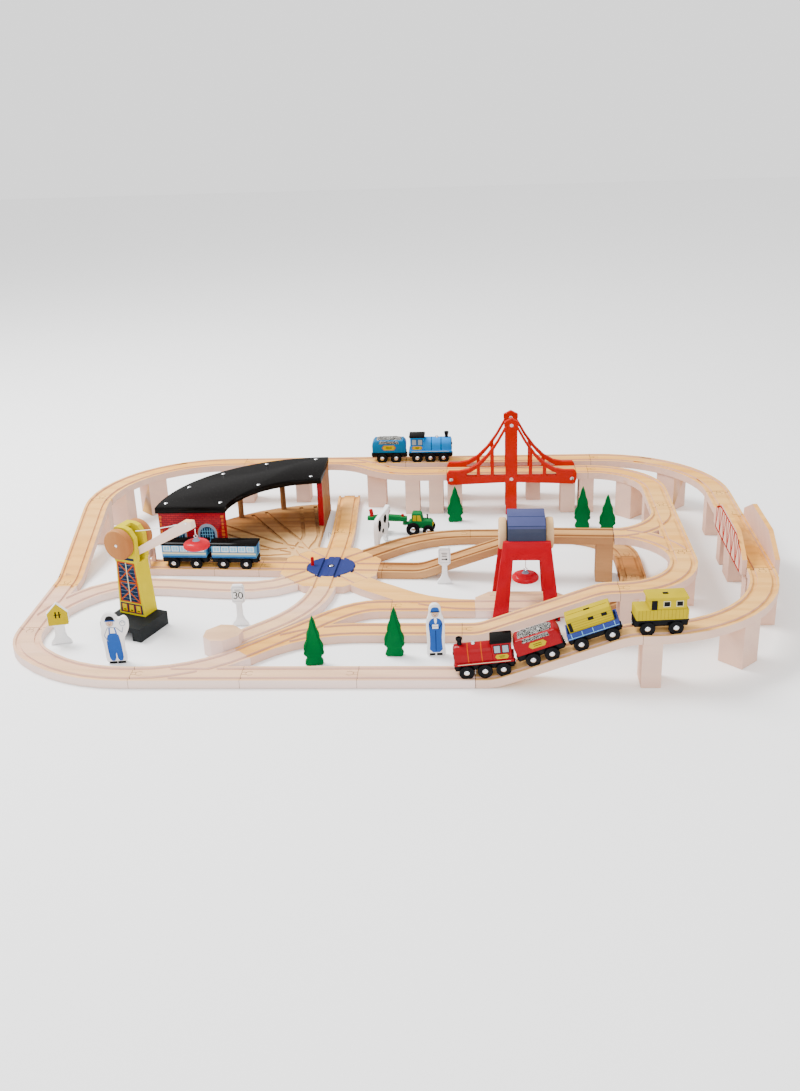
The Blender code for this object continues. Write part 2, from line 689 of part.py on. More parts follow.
def loco_shapes(front):
    """Footplate, boiler, cab, roof and funnel; front is -1 or 1 along x."""
    lows = sorted((front * -12, front * -37))
    cab_roof = sorted((front * -10.5, front * -39))
    return [box((-40, -15, DECK_Z - 0.4), (40, 15, 25)),
            cylinder((front * 12, 0, 34), (1, 0, 0), 12.5, 52, 20),
            box((lows[0], -13.5, 24), (lows[1], 13.5, 49)),
            box((cab_roof[0], -15, 48.5), (cab_roof[1], 15, 53)),
            cylinder((front * 30, 0, 50), (0, 0, 1), 3.2, 14, 10)]


VEHICLES = {
    # name: centre x, y, wheel height, heading, pitch, half length, axles, colour
    "red_loco": (132.0, FRONT_Y, RAIL_Z + 2.8, 0.0, 6.3, 39.5, (-24.5, 0.0, 24.5), RED),
    "red_tender": (209.5, FRONT_Y, None, 0.0, RAMP_ANGLE, 32.0, (-13.0, 13.0), RED),
    "yellow_boxcar": (279.0, FRONT_Y, None, 0.0, RAMP_ANGLE, 35.0, (-21.0, 21.0), YELLOW),
    "yellow_caboose": (357.0, None, RAIL_Z + RISE, None, 0.0, 35.0, (-18.5, 18.5), YELLOW),
    "blue_tender": (-40.5, BACK_Y, RAIL_Z + RISE, 0.0, 0.0, 32.0, (-13.0, 13.0), SKY),
    "blue_loco": (36.5, BACK_Y, RAIL_Z + RISE, 0.0, 0.0, 39.5, (-24.5, 0.0, 24.5), SKY),
    "left_coach": (-355.5, None, RAIL_Z, None, 0.0, 38.0, (-19.0, 19.0), SKY),
    "right_coach": (-272.5, None, RAIL_Z, None, 0.0, 38.0, (-19.0, 19.0), SKY),
}


def vehicle_shapes(name):
    """What stands on the chassis."""
    if name == "red_loco":
        return loco_shapes(-1)
    if name == "blue_loco":
        return loco_shapes(1)
    if name.endswith("tender"):
        return [box((-31, -15, DECK_Z - 0.4), (31, 15, 40)), roofed(27, 12, 39.5, 43, 4)]
    if name == "yellow_boxcar":
        return [box((-35, -15, DECK_Z - 0.4), (35, 15, 30)), box((-30, -13, 29.5), (30, 13, 50))]
    if name == "yellow_caboose":
        return [box((-34, -15, DECK_Z - 0.4), (34, 15, 37)), box((-12, -14, 36.5), (34, 14, 54))]
    return [box((-37, -14.5, DECK_Z - 0.4), (37, 14.5, 42)), roofed(38, 15, 41.5, 44, 4)]


def vehicle_place(name):
    """World matrix of a vehicle at the wheels' lowest point under its middle."""
    x, y, z, heading, pitch, _, axles, _ = VEHICLES[name]
    if name.endswith("coach"):
        _, exit_y, exit_turn = on_turntable(180)
        y = exit_y + (TABLE_X - TABLE_FLAT - x) * math.tan(math.radians(-TABLE_TURN))
        heading = exit_turn - 180
    if name == "yellow_caboose":
        bend = math.asin((x - SIDE_X + BIG_R) / BIG_R)
        half_base = axles[1]
        y = FRONT_Y + BIG_R - (math.sqrt(BIG_R**2 - half_base**2) - CURVE_SHIFT) * math.cos(bend)
        heading = math.degrees(bend)
    place = Matrix.Rotation(math.radians(heading), 4, "Z") @ Matrix.Rotation(math.radians(-pitch), 4, "Y")
    if z is None:
        up = (TRACK_H - GROOVE_D + GAP) / math.cos(math.radians(pitch))
        z = ramp_height(x - 130.0) + up
    return Matrix.Translation((x * MM, y * MM, z * MM)) @ place


def wheelset_mesh(radius=WHEEL_R, inner=WHEEL_IN, outer=WHEEL_OUT, sides=14):
    """Two wheels on their axle, turned about Z and laid along Y."""
    profile = [(0, outer), (radius, outer), (radius, inner), (AXLE_R, inner),
               (AXLE_R, -inner), (radius, -inner), (radius, -outer), (0, -outer)]
    mesh = turned(profile, sides)
    mesh.transform(Matrix.Rotation(math.radians(90), 4, "X"))
    return mesh


def make_vehicles():
    black = material("wheel_black", BLACK, 0.3)
    shared = wheelset_mesh()
    for name, (*_, half, axles, colour) in VEHICLES.items():
        place = vehicle_place(name)
        anchor = bpy.data.objects.new(name + "_place", None)
        SET.objects.link(anchor)
        anchor.matrix_world = place
        shapes = vehicle_shapes(name)
        mesh = union(chassis(2 * half, axles), *shapes)
        body = put(name + "_body", mesh, material(name + "_paint", colour))
        body.parent = anchor
        for number, x in enumerate(axles, start=1):
            wheels = bpy.data.objects.new(f"{name}_wheels_{number}", shared.copy())
            wheels.data.materials.clear()
            wheels.data.materials.append(black)
            SET.objects.link(wheels)
            wheels.parent = anchor
            wheels.location = (x * MM, 0, WHEEL_R * MM)


def make_tractor():
    """A tractor with a jib and the two-wheeled trailer it pulls."""
    green = material("tractor_green", GREEN)
    black = material("wheel_black", BLACK, 0.3)
    anchor = bpy.data.objects.new("tractor_place", None)
    SET.objects.link(anchor)
    anchor.matrix_world = Matrix.Translation((22 * MM, 172 * MM, GAP * MM)) @ Matrix.Rotation(math.radians(-4), 4, "Z")
    body = union(box((-20, -9, 9), (22, 9, 25)), box((-14, -9, 24), (5, 9, 40)), box((-30, -4, 16), (-19, 4, 22)))
    body = cut(body, box((-13.2, -12, 4), (-8.8, 12, 13.8)), box((13.8, -12, 4), (18.2, 12, 11.8)))
    body = cut(body, cylinder((-26, 0, 19), (0, 0, 1), 2.0, 14, 10))
    put("tractor_body", body, green).parent = anchor
    for name, x, radius in (("tractor_rear_wheels", -11, 12.0), ("tractor_front_wheels", 16, 10.0)):
        axle = put(name, wheelset_mesh(radius, 9.8, 15.0), black)
        axle.parent = anchor
        axle.location = (x * MM, 0, radius * MM)
    hitch = (-26.0, 0.0)
    trailer = union(box((hitch[0] - 66, -6, 23), (hitch[0] + 4, 6, 31)),
                    cylinder((hitch[0], 0, 20), (0, 0, 1), 1.6, 8, 8),
                    box((hitch[0] - 46, -6, 9), (hitch[0] - 34, 6, 24)))
    trailer = cut(trailer, box((hitch[0] - 42.2, -12, 4), (hitch[0] - 37.8, 12, 13.8)))
    put("tractor_trailer", trailer, green).parent = anchor
    axle = put("trailer_wheels", wheelset_mesh(11.0, 7.0, 12.0), black)
    axle.parent = anchor
    axle.location = ((hitch[0] - 40) * MM, 0, 11 * MM)


def make_tower_crane():
    black = material("crane_black", BLACK, 0.5)
    yellow = material("crane_yellow", YELLOW)
    wood = material("beech", WOOD)
    anchor = bpy.data.objects.new("crane_place", None)
    SET.objects.link(anchor)
    anchor.matrix_world = Matrix.Translation((CRANE_X * MM, CRANE_Y * MM, 0)) @ Matrix.Rotation(math.radians(CRANE_TURN), 4, "Z")

    base = box((-36, -34, 0), (36, 34, CRANE_BASE_H))
    base = cut(base, box((-21, -40, -2), (21, 40, 13)))
    base = union(base, cylinder((-4, 18, CRANE_BASE_H + 2), (0, 0, 1), 6, 8, 16))
    put("crane_base", base, black).parent = anchor

    slew = bpy.data.objects.new("crane_slew", None)
    SET.objects.link(slew)
    slew.parent = anchor
    slew.location = (-4 * MM, 18 * MM, 0)
    low = CRANE_BASE_H + GAP
    faces = [(-23, low), (23, low), (17, 104), (20, 112), (20, 146), (12, 158), (4, TOWER_TOP - 2), (-12, TOWER_TOP - 2),
             (-20, 150), (-22, 112), (-18, 104)]
    tower = upright([faces], -15, 15)
    tower = cut(tower, cylinder((0, 0, low), (0, 0, 1), 6.4, 12, 16),
                box((-14, -6.5, 106), (40, 6.5, 156)), box((0, -6.5, 140), (16, 6.5, 180)),
                cylinder((-2, 0, 137.5), (0, 1, 0), 2.4, 60, 12))
    tower = union(tower, cylinder((BOOM_PIVOT[0] - 4, 0, BOOM_PIVOT[1]), (0, 1, 0), 1.5, 20, 10))
    put("crane_tower", tower, yellow).parent = slew

    winch = turned([(0, 29), (HOIST_TOP_R - 2, 29), (HOIST_TOP_R, 27), (HOIST_TOP_R, 18), (HOIST_TOP_R - 1, 16), (2, 16),
                    (2, 5.5), (4, 5.5), (4, -5.5), (2, -5.5), (2, -16), (HOIST_TOP_R - 1, -16), (HOIST_TOP_R, -18),
                    (HOIST_TOP_R, -27), (HOIST_TOP_R - 2, -29), (0, -29)], 24)
    winch.transform(Matrix.Rotation(math.radians(90), 4, "X"))
    drum = put("crane_winch", winch, wood)
    drum.parent = slew
    drum.location = (-2 * MM, 0, 137.5 * MM)

    luff = bpy.data.objects.new("crane_luff", None)
    SET.objects.link(luff)
    luff.parent = slew
    luff.location = ((BOOM_PIVOT[0] - 4) * MM, 0, BOOM_PIVOT[1] * MM)
    luff.rotation_euler = (0, math.radians(-BOOM_LIFT), 0)
    boom = upright([[(-5, -5), (BOOM_L, -8), (BOOM_L + 4, 2), (BOOM_L - 8, 8), (-5, 5)]], -5.5, 5.5)
    boom = cut(boom, cylinder((0, 0, 0), (0, 1, 0), 2.0, 20, 10))
    put("crane_boom", boom, wood).parent = luff

    tip = crane_tip()
    line = tube([(0, 0, 0), (0, 0, -4), (0, 0, -8)], 0.6)
    string = put("crane_string", line, material("string_white", WHITE))
    string.location = tip * MM
    magnet = turned([(0, -8.3), (1.6, -8.3), (3.2, -9.5), (3.2, -13), (6, -14.5), (16, -16), (19, -18.5), (19, -23),
                     (15, -27), (0, -28)], 20)
    hook = put("crane_magnet", magnet, material("magnet_red", RED, 0.25))
    hook.location = tip * MM


def crane_tip():
    """World place where the string leaves the boom's end, in millimetres."""
    reach = Vector((BOOM_L + 1, 0, -9.6))
    lift = math.radians(BOOM_LIFT)
    x = reach.x * math.cos(lift) - reach.z * math.sin(lift) + BOOM_PIVOT[0] - 4 - 4
    z = reach.x * math.sin(lift) + reach.z * math.cos(lift) + BOOM_PIVOT[1]
    turn = math.radians(CRANE_TURN)
    y = 18.0
    return Vector((CRANE_X + x * math.cos(turn) - y * math.sin(turn),
                   CRANE_Y + x * math.sin(turn) + y * math.cos(turn), z))


def make_gantry():
    red = material("gantry_red", RED)
    frame_shape = [[(-50, 0), (-27, 0), (-20, 98), (20, 98), (27, 0), (50, 0), (33, GANTRY_H), (-33, GANTRY_H)]]
    frames = [upright(frame_shape, near, near + 8) for near in (GANTRY_FRONT_Y, GANTRY_BACK_Y - 8)]
    for frame in frames:
        frame.transform(Matrix.Translation((GANTRY_X * MM, 0, 0)))
    near, far = GANTRY_FRONT_Y + 5, GANTRY_BACK_Y - 5
    arch = [(near, 104), (far, 104), (far, 140), (far - 8, 149), (far - 26, 155), (near + 26, 155), (near + 8, 149), (near, 140)]
    house = plate([arch], -27, 27)
    stand = Matrix.Rotation(math.radians(90), 4, "Z") @ Matrix.Rotation(math.radians(90), 4, "X")
    house.transform(stand)
    house.transform(Matrix.Translation((GANTRY_X * MM, 0, 0)))
    hollow = box((GANTRY_X - 20, near + 12, 90), (GANTRY_X + 20, far - 12, 142))
    middle = (GANTRY_FRONT_Y + GANTRY_BACK_Y) / 2
    bore = cylinder((GANTRY_X, middle, GANTRY_AXLE_Z), (1, 0, 0), 3.4, 80, 14)
    put("gantry_frame", cut(union(*frames, house), hollow, bore), red)

    winch = turned([(0, 40), (21, 40), (23.5, 38), (23.5, 30), (21.5, 28.2), (3, 28.2), (3, 18), (6, 18), (6, -18), (3, -18),
                    (3, -28.2), (21.5, -28.2), (23.5, -30), (23.5, -38), (21, -40), (0, -40)], 24)
    winch.transform(Matrix.Rotation(math.radians(90), 4, "Y"))
    drum = put("gantry_winch", winch, material("beech", WOOD))
    drum.location = (GANTRY_X * MM, middle * MM, GANTRY_AXLE_Z * MM)

    line = tube([(0, 0, 0), (0, 0, -25), (0, 0, -50)], 0.6)
    string = put("gantry_string", line, material("string_white", WHITE))
    string.location = (GANTRY_X * MM, middle * MM, (GANTRY_AXLE_Z - 6.3) * MM)
    magnet = turned([(0, 0), (1.6, 0), (3.2, -1.2), (3.2, -5), (6, -6.5), (17, -8), (20, -10.5), (20, -16), (16, -20),
                     (0, -21)], 20)
    hook = put("gantry_magnet", magnet, material("magnet_red", RED, 0.25))
    hook.location = (GANTRY_X * MM, middle * MM, (GANTRY_AXLE_Z - 6.3 - 50.3) * MM)


make_ground_tracks()
make_raised_tracks()
make_suspension_bridge()
make_turntable()
make_roundhouse()
make_vehicles()
make_tractor()
make_tower_crane()
make_gantry()
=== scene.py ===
# %% [markdown]
# # A wooden train set
# A raised and a ground railway in beech, with a turntable, a roundhouse, two bridges, two magnet
# cranes, three trains and a tractor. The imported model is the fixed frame: its tracks and bridges stay
# and get real finishes, and its plain vehicles are replaced by detailed ones that ride on the same bodies.

# %% Load the frame
import math

import bmesh
import bpy
import numpy as np
from mathutils import Matrix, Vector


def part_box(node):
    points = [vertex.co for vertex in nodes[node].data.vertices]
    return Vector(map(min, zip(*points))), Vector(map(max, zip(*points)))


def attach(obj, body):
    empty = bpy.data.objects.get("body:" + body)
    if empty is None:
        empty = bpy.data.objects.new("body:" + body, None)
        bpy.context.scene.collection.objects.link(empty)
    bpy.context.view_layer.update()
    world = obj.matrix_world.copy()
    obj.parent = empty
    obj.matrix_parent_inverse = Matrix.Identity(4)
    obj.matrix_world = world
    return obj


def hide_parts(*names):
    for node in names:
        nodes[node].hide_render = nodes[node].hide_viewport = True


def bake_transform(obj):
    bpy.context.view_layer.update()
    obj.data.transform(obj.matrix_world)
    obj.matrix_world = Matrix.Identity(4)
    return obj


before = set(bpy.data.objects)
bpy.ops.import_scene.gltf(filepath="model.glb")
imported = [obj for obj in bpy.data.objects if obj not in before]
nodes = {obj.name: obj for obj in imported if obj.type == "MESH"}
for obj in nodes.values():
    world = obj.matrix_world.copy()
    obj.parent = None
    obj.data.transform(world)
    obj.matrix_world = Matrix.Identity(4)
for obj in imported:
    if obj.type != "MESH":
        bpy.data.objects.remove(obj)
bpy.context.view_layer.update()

# %% [markdown]
# The camera stands a little above a table, looking down about twenty degrees at the long side. Its
# place and turn are two angles and a roll, turned into three perpendicular directions.

# %% Camera, floor and soft light
scene = bpy.context.scene
yaw, pitch, roll = (math.radians(v) for v in (4.07, 22.7, -2.06))
ahead = np.array([-math.sin(yaw) * math.cos(pitch), math.cos(yaw) * math.cos(pitch), -math.sin(pitch)])
level = np.array([math.cos(yaw), math.sin(yaw), 0.0])
above = np.cross(level, ahead)
right = math.cos(roll) * level + math.sin(roll) * above
up = math.cos(roll) * above - math.sin(roll) * level
camera = bpy.data.objects.new("camera", bpy.data.cameras.new("camera"))
camera.data.lens = 38.6
camera.data.sensor_width = 36.0
camera.data.clip_end = 20.0
turned = np.eye(4)
turned[:3, 0], turned[:3, 1], turned[:3, 2], turned[:3, 3] = right, up, -ahead, (0.121, -1.730, 0.775)
camera.matrix_world = Matrix(turned.tolist())
scene.collection.objects.link(camera)
scene.camera = camera


def area_light(name, place, target, size, power):
    """A square lamp at place that faces target."""
    lamp = bpy.data.lights.new(name, "AREA")
    lamp.size = size
    lamp.energy = power
    made = bpy.data.objects.new(name, lamp)
    scene.collection.objects.link(made)
    back = Matrix.Translation(place).translation - Matrix.Translation(target).translation
    made.matrix_world = Matrix.Translation(place) @ back.to_track_quat("Z", "Y").to_matrix().to_4x4()
    return made


area_light("key", (-1.3, 0.5, 2.1), (0.0, 0.0, 0.0), 1.0, 115)
area_light("fill", (0.4, -2.4, 1.6), (0.1, 0.0, 0.0), 1.6, 28)
world = bpy.data.worlds.new("studio")
scene.world = world
world.use_nodes = True
world.node_tree.nodes["Background"].inputs["Color"].default_value = (1.0, 1.0, 1.0, 1.0)
world.node_tree.nodes["Background"].inputs["Strength"].default_value = 1.55

# %% [markdown]
# Small helpers build node trees in words: node() makes one node, sets plain values and links sockets.
# Effects that many finishes share are groups: straight grain for beech, and the skin of sprayed paint.

# %% Node helpers
def node(tree, kind, inputs=None, **settings):
    """A new node; each input takes a value, or a socket to link from."""
    made = tree.nodes.new(kind)
    for name, value in settings.items():
        setattr(made, name, value)
    for name, value in (inputs or {}).items():
        if isinstance(value, bpy.types.NodeSocket):
            tree.links.new(value, made.inputs[name])
        else:
            made.inputs[name].default_value = value
    return made


def group(name, inputs, outputs):
    """A shader group with named sockets; returns (tree, its input node, its output node)."""
    tree = bpy.data.node_groups.new(name, "ShaderNodeTree")
    for label, kind, value in inputs:
        socket = tree.interface.new_socket(name=label, in_out="INPUT", socket_type="NodeSocket" + kind)
        socket.default_value = value
    for label, kind in outputs:
        tree.interface.new_socket(name=label, in_out="OUTPUT", socket_type="NodeSocket" + kind)
    return tree, node(tree, "NodeGroupInput"), node(tree, "NodeGroupOutput")


def blend_colour(tree, factor, one, other, mode="MIX"):
    """Colour one turning into other by factor."""
    made = tree.nodes.new("ShaderNodeMix")
    made.data_type = "RGBA"
    made.blend_type = mode
    for index, value in ((0, factor), (6, one), (7, other)):
        if isinstance(value, bpy.types.NodeSocket):
            tree.links.new(value, made.inputs[index])
        else:
            made.inputs[index].default_value = value
    return made.outputs[2]


def spread(tree, value, low, high, new_low=0.0, new_high=1.0):
    """value moved from the range low..high to new_low..new_high, and held inside it."""
    inputs = {"Value": value, "From Min": low, "From Max": high, "To Min": new_low, "To Max": new_high}
    return node(tree, "ShaderNodeMapRange", inputs).outputs["Result"]


def sums(tree, operation, one, other):
    """One arithmetic step."""
    made = tree.nodes.new("ShaderNodeMath")
    made.operation = operation
    for index, value in enumerate((one, other)):
        if isinstance(value, bpy.types.NodeSocket):
            tree.links.new(value, made.inputs[index])
        else:
            made.inputs[index].default_value = value
    return made.outputs[0]


# %% [markdown]
# Beech shows fine straight streaks, wide soft bands where the growth rings are cut, and short dark
# flecks. All three come from noise on coordinates squeezed along the grain.

# %% Straight grain
tree, start, end = group("straight_grain",
                         [("Place", "Vector", (0, 0, 0)), ("Light", "Color", (1, 1, 1, 1)),
                          ("Dark", "Color", (0, 0, 0, 1)), ("Streaks", "Float", 0.5)],
                         [("Color", "Color"), ("Roughness", "Float"), ("Height", "Float")])
fine = node(tree, "ShaderNodeTexNoise", {"Vector": start.outputs["Place"], "Scale": 260.0, "Detail": 6.0,
                                         "Roughness": 0.62})
wide = node(tree, "ShaderNodeTexNoise", {"Vector": start.outputs["Place"], "Scale": 34.0, "Detail": 3.0,
                                         "Distortion": 0.6})
rings = node(tree, "ShaderNodeTexWave", {"Vector": start.outputs["Place"], "Scale": 20.0, "Distortion": 5.5,
                                         "Detail": 3.0, "Detail Scale": 1.4}, bands_direction="DIAGONAL")
flecks = node(tree, "ShaderNodeTexNoise", {"Vector": start.outputs["Place"], "Scale": 900.0, "Detail": 2.0})
plank = node(tree, "ShaderNodeTexNoise", {"Vector": start.outputs["Place"], "Scale": 9.0, "Detail": 1.0})
fleck = spread(tree, flecks.outputs[0], 0.66, 0.72, 0.0, 0.35)
streak = spread(tree, fine.outputs[0], 0.35, 0.7)
ring = sums(tree, "MULTIPLY", spread(tree, rings.outputs["Fac"], 0.25, 1.0), 0.55)
dark = sums(tree, "MULTIPLY", sums(tree, "ADD", sums(tree, "MULTIPLY", streak, 0.5), ring),
            start.outputs["Streaks"])
tint = blend_colour(tree, spread(tree, wide.outputs[0], 0.3, 0.7, 0.0, 0.3), start.outputs["Light"],
                    (0.64, 0.31, 0.08, 1))
tint = blend_colour(tree, spread(tree, plank.outputs[0], 0.38, 0.62, 0.0, 0.55), tint, (0.80, 0.50, 0.20, 1))
colour = blend_colour(tree, dark, tint, start.outputs["Dark"])
colour = blend_colour(tree, fleck, colour, (0.30, 0.17, 0.09, 1))
tree.links.new(colour, end.inputs["Color"])
tree.links.new(spread(tree, fine.outputs[0], 0.3, 0.7, 0.40, 0.54), end.inputs["Roughness"])
tree.links.new(sums(tree, "SUBTRACT", streak, sums(tree, "MULTIPLY", fleck, 2.0)), end.inputs["Height"])
GRAIN = tree


def wood(name, light, dark, streaks=0.5, side=(0.62, 0.475, 0.49), squeeze=(0.10, 1.0, 1.0), turn=0.0,
         coat=0.07):
    """Beech with its grain along X before the turn; upright faces lean to the paler side colour, which is
    painted light for their brightly lit look.
    """
    made = bpy.data.materials.new(name)
    made.use_nodes = True
    tree = made.node_tree
    shader = tree.nodes["Principled BSDF"]
    place = node(tree, "ShaderNodeTexCoord").outputs["Object"]
    place = node(tree, "ShaderNodeMapping",
                 {"Vector": place, "Rotation": (0, 0, math.radians(turn)), "Scale": squeeze})
    grain = node(tree, "ShaderNodeGroup", node_tree=GRAIN)
    tree.links.new(place.outputs[0], grain.inputs["Place"])
    grain.inputs["Light"].default_value = (*light, 1)
    grain.inputs["Dark"].default_value = (*dark, 1)
    grain.inputs["Streaks"].default_value = streaks
    # Painted light: the more upright a face is, the more it is painted towards the paler side colour.
    normal = node(tree, "ShaderNodeSeparateXYZ", {0: node(tree, "ShaderNodeNewGeometry").outputs["Normal"]})
    painted_side_light = sums(tree, "SUBTRACT", 1.0, sums(tree, "ABSOLUTE", normal.outputs[2], 0.0))
    shade = blend_colour(tree, sums(tree, "MULTIPLY", painted_side_light, 0.62), grain.outputs["Color"], (*side, 1))
    tree.links.new(shade, shader.inputs["Base Color"])
    tree.links.new(grain.outputs["Roughness"], shader.inputs["Roughness"])
    shader.inputs["Coat Weight"].default_value = coat
    shader.inputs["Coat Roughness"].default_value = 0.3
    shader.inputs["Specular IOR Level"].default_value = 0.0
    bump = node(tree, "ShaderNodeBump", {"Strength": 0.18, "Distance": 0.0003,
                                         "Height": grain.outputs["Height"]})
    tree.links.new(bump.outputs[0], shader.inputs["Normal"])
    return made


# %% [markdown]
# Sprayed paint on wood is almost even: a slight change of colour, an orange-peel ripple under the
# gloss, and dust that takes the shine off in places.

# %% Paint skin
tree, start, end = group("paint_skin",
                         [("Place", "Vector", (0, 0, 0)), ("Paint", "Color", (1, 1, 1, 1)),
                          ("Shine", "Float", 0.25)],
                         [("Color", "Color"), ("Roughness", "Float"), ("Height", "Float")])
peel = node(tree, "ShaderNodeTexNoise", {"Vector": start.outputs["Place"], "Scale": 520.0, "Detail": 2.0})
cloud = node(tree, "ShaderNodeTexNoise", {"Vector": start.outputs["Place"], "Scale": 60.0, "Detail": 4.0})
dust = node(tree, "ShaderNodeTexNoise", {"Vector": start.outputs["Place"], "Scale": 1700.0, "Detail": 2.0})
deep = blend_colour(tree, 1.0, start.outputs["Paint"], (0.80, 0.80, 0.80, 1), "MULTIPLY")
colour = blend_colour(tree, spread(tree, cloud.outputs[0], 0.35, 0.7, 0.0, 0.5), start.outputs["Paint"], deep)
colour = blend_colour(tree, spread(tree, dust.outputs[0], 0.68, 0.76, 0.0, 0.07), colour, (0.9, 0.88, 0.84, 1))
tree.links.new(colour, end.inputs["Color"])
rough = sums(tree, "ADD", start.outputs["Shine"], spread(tree, cloud.outputs[0], 0.3, 0.7, -0.03, 0.08))
tree.links.new(rough, end.inputs["Roughness"])
tree.links.new(peel.outputs[0], end.inputs["Height"])
SKIN = tree


def paint(name, colour, shine=0.25, coat=0.1, metallic=0.0, relief=0.12, specular=0.0):
    """A sprayed or moulded finish in one colour."""
    made = bpy.data.materials.new(name)
    made.use_nodes = True
    tree = made.node_tree
    shader = tree.nodes["Principled BSDF"]
    skin = node(tree, "ShaderNodeGroup", node_tree=SKIN)
    tree.links.new(node(tree, "ShaderNodeTexCoord").outputs["Object"], skin.inputs["Place"])
    skin.inputs["Paint"].default_value = (*colour, 1)
    skin.inputs["Shine"].default_value = shine
    tree.links.new(skin.outputs["Color"], shader.inputs["Base Color"])
    tree.links.new(skin.outputs["Roughness"], shader.inputs["Roughness"])
    shader.inputs["Coat Weight"].default_value = coat
    shader.inputs["Coat Roughness"].default_value = 0.12
    shader.inputs["Specular IOR Level"].default_value = specular
    shader.inputs["Metallic"].default_value = metallic
    bump = node(tree, "ShaderNodeBump", {"Strength": relief, "Distance": 0.0002,
                                         "Height": skin.outputs["Height"]})
    tree.links.new(bump.outputs[0], shader.inputs["Normal"])
    return made


# %% [markdown]
# Each finish is one call: a name, a colour in linear light, and how rough it is. Beech takes a light and
# a dark colour, because its streaks turn from one to the other. A thin coat gives gloss; the plain
# specular layer is off, so that deep reds, yellows and blacks stay deep under a white sky.

# %% Finishes of the set
# Each side colour is painted light: upright faces are painted towards it by their normal.
BEECH = wood("beech", (0.82, 0.41, 0.085), (0.47, 0.19, 0.034), 0.42)
BEECH_Y = wood("beech_across", (0.82, 0.41, 0.085), (0.47, 0.19, 0.034), 0.42, turn=90)
PALE = wood("beech_pale", (0.75, 0.49, 0.36), (0.46, 0.27, 0.17), 0.36, side=(0.82, 0.68, 0.68), turn=8)
WARM = wood("beech_warm", (0.36, 0.15, 0.045), (0.21, 0.075, 0.018), 0.5, side=(0.36, 0.18, 0.09))
KNOB = wood("beech_turned", (0.33, 0.115, 0.035), (0.20, 0.062, 0.017), 0.4, side=(0.32, 0.11, 0.034),
            squeeze=(1, 1, 0.12))
KNOB_PALE = wood("beech_turned_pale", (0.62, 0.41, 0.23), (0.40, 0.23, 0.11), 0.3, side=(0.60, 0.40, 0.25),
                 squeeze=(0.12, 1, 1))


def house_floor():
    """Dark brown painted shade under the roof, fading to bare beech towards the turntable, by distance from its
    middle.
    """
    made = wood("house_floor", (0.23, 0.082, 0.027), (0.12, 0.038, 0.012), 0.5, side=(0.22, 0.085, 0.032),
                turn=-45)
    tree = made.node_tree
    shader = tree.nodes["Principled BSDF"]
    painted_shade = shader.inputs["Base Color"].links[0].from_socket
    place = node(tree, "ShaderNodeTexCoord").outputs["Object"]
    middle = tuple((np.array(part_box("turntable_disc")[0]) + np.array(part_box("turntable_disc")[1])) / 2)
    apart = node(tree, "ShaderNodeVectorMath", {0: place, 1: middle}, operation="DISTANCE").outputs["Value"]
    patches = node(tree, "ShaderNodeTexNoise", {"Vector": place, "Scale": 55.0, "Detail": 4.0}).outputs[0]
    reach = sums(tree, "ADD", apart, sums(tree, "MULTIPLY", sums(tree, "SUBTRACT", patches, 0.5), 0.06))
    # Painted shade: the floor is darkest under the roof and turns to bare beech where it lies open near the
    # turntable.
    fade = blend_colour(tree, spread(tree, reach, 0.10, 0.19), (0.66, 0.40, 0.17, 1), painted_shade)
    tree.links.new(fade, shader.inputs["Base Color"])
    return made


SHADED_FLOOR = house_floor()
SEAM = paint("joint_line", (0.13, 0.055, 0.022), 0.6, 0.0)
RED = paint("loco_red", (0.26, 0.003, 0.008), 0.22, 0.16)
CRIMSON = paint("gantry_crimson", (0.40, 0.001, 0.011), 0.3)
ORANGE = paint("bridge_orange_red", (0.40, 0.009, 0.003), 0.32)
# The gantry house is one blue paint in two copies: a lighter copy for its top as painted light, and a darker
# copy for its walls as painted shade.
HOUSE_TOP_LIT = paint("house_blue_lit_top", (0.055, 0.062, 0.15), 0.4)
HOUSE_SIDES_SHADED = paint("house_blue_shaded", (0.036, 0.042, 0.073), 0.45)
DISC_BLUE = paint("turntable_blue", (0.022, 0.031, 0.13), 0.35)
WAGON_BLUE = paint("wagon_blue", (0.026, 0.044, 0.195))
SKY = paint("engine_sky", (0.004, 0.205, 0.60), 0.28)
TENDER_SKY = paint("tender_sky", (0.004, 0.125, 0.29), 0.28)
COACH = paint("coach_blue", (0.075, 0.26, 0.46), 0.3)
COACH_DEEP = paint("coach_line_blue", (0.015, 0.075, 0.24), 0.3)
GLASS = paint("window_blue", (0.20, 0.50, 0.72), 0.2)
GREY = paint("window_grey", (0.24, 0.30, 0.34), 0.25)
CREAM = paint("cream_line", (0.60, 0.57, 0.36), 0.35)
YELLOW = paint("wagon_yellow", (0.43, 0.325, 0.0), 0.3)
SAFFRON = paint("crane_yellow", (0.55, 0.45, 0.0), 0.3)
DULL_YELLOW = paint("plank_line", (0.20, 0.13, 0.002), 0.4)
NAVY = paint("lattice_navy", (0.006, 0.020, 0.050), 0.35)
TANGERINE = paint("lattice_orange", (0.46, 0.070, 0.002), 0.35)
BLACK = paint("gloss_black", (0.003, 0.0025, 0.0023), 0.12, 0.11, relief=0.04)
SATIN = paint("satin_black", (0.005, 0.005, 0.006), 0.3, 0.12)
MATT = paint("matt_black", (0.011, 0.013, 0.014), 0.55, 0.0, relief=0.4, specular=0.08)
STEEL = paint("steel", (0.72, 0.72, 0.74), 0.18, 0.0, 1.0)
WHITE = paint("white_print", (0.80, 0.80, 0.80), 0.4, 0.1)
PRINT_BLUE = paint("print_blue", (0.020, 0.085, 0.34), 0.45, 0.05)
SKIN_TONE = paint("print_face", (0.60, 0.40, 0.29), 0.45, 0.05)
PRINT_GREY = paint("print_grey", (0.22, 0.27, 0.36), 0.45, 0.05)
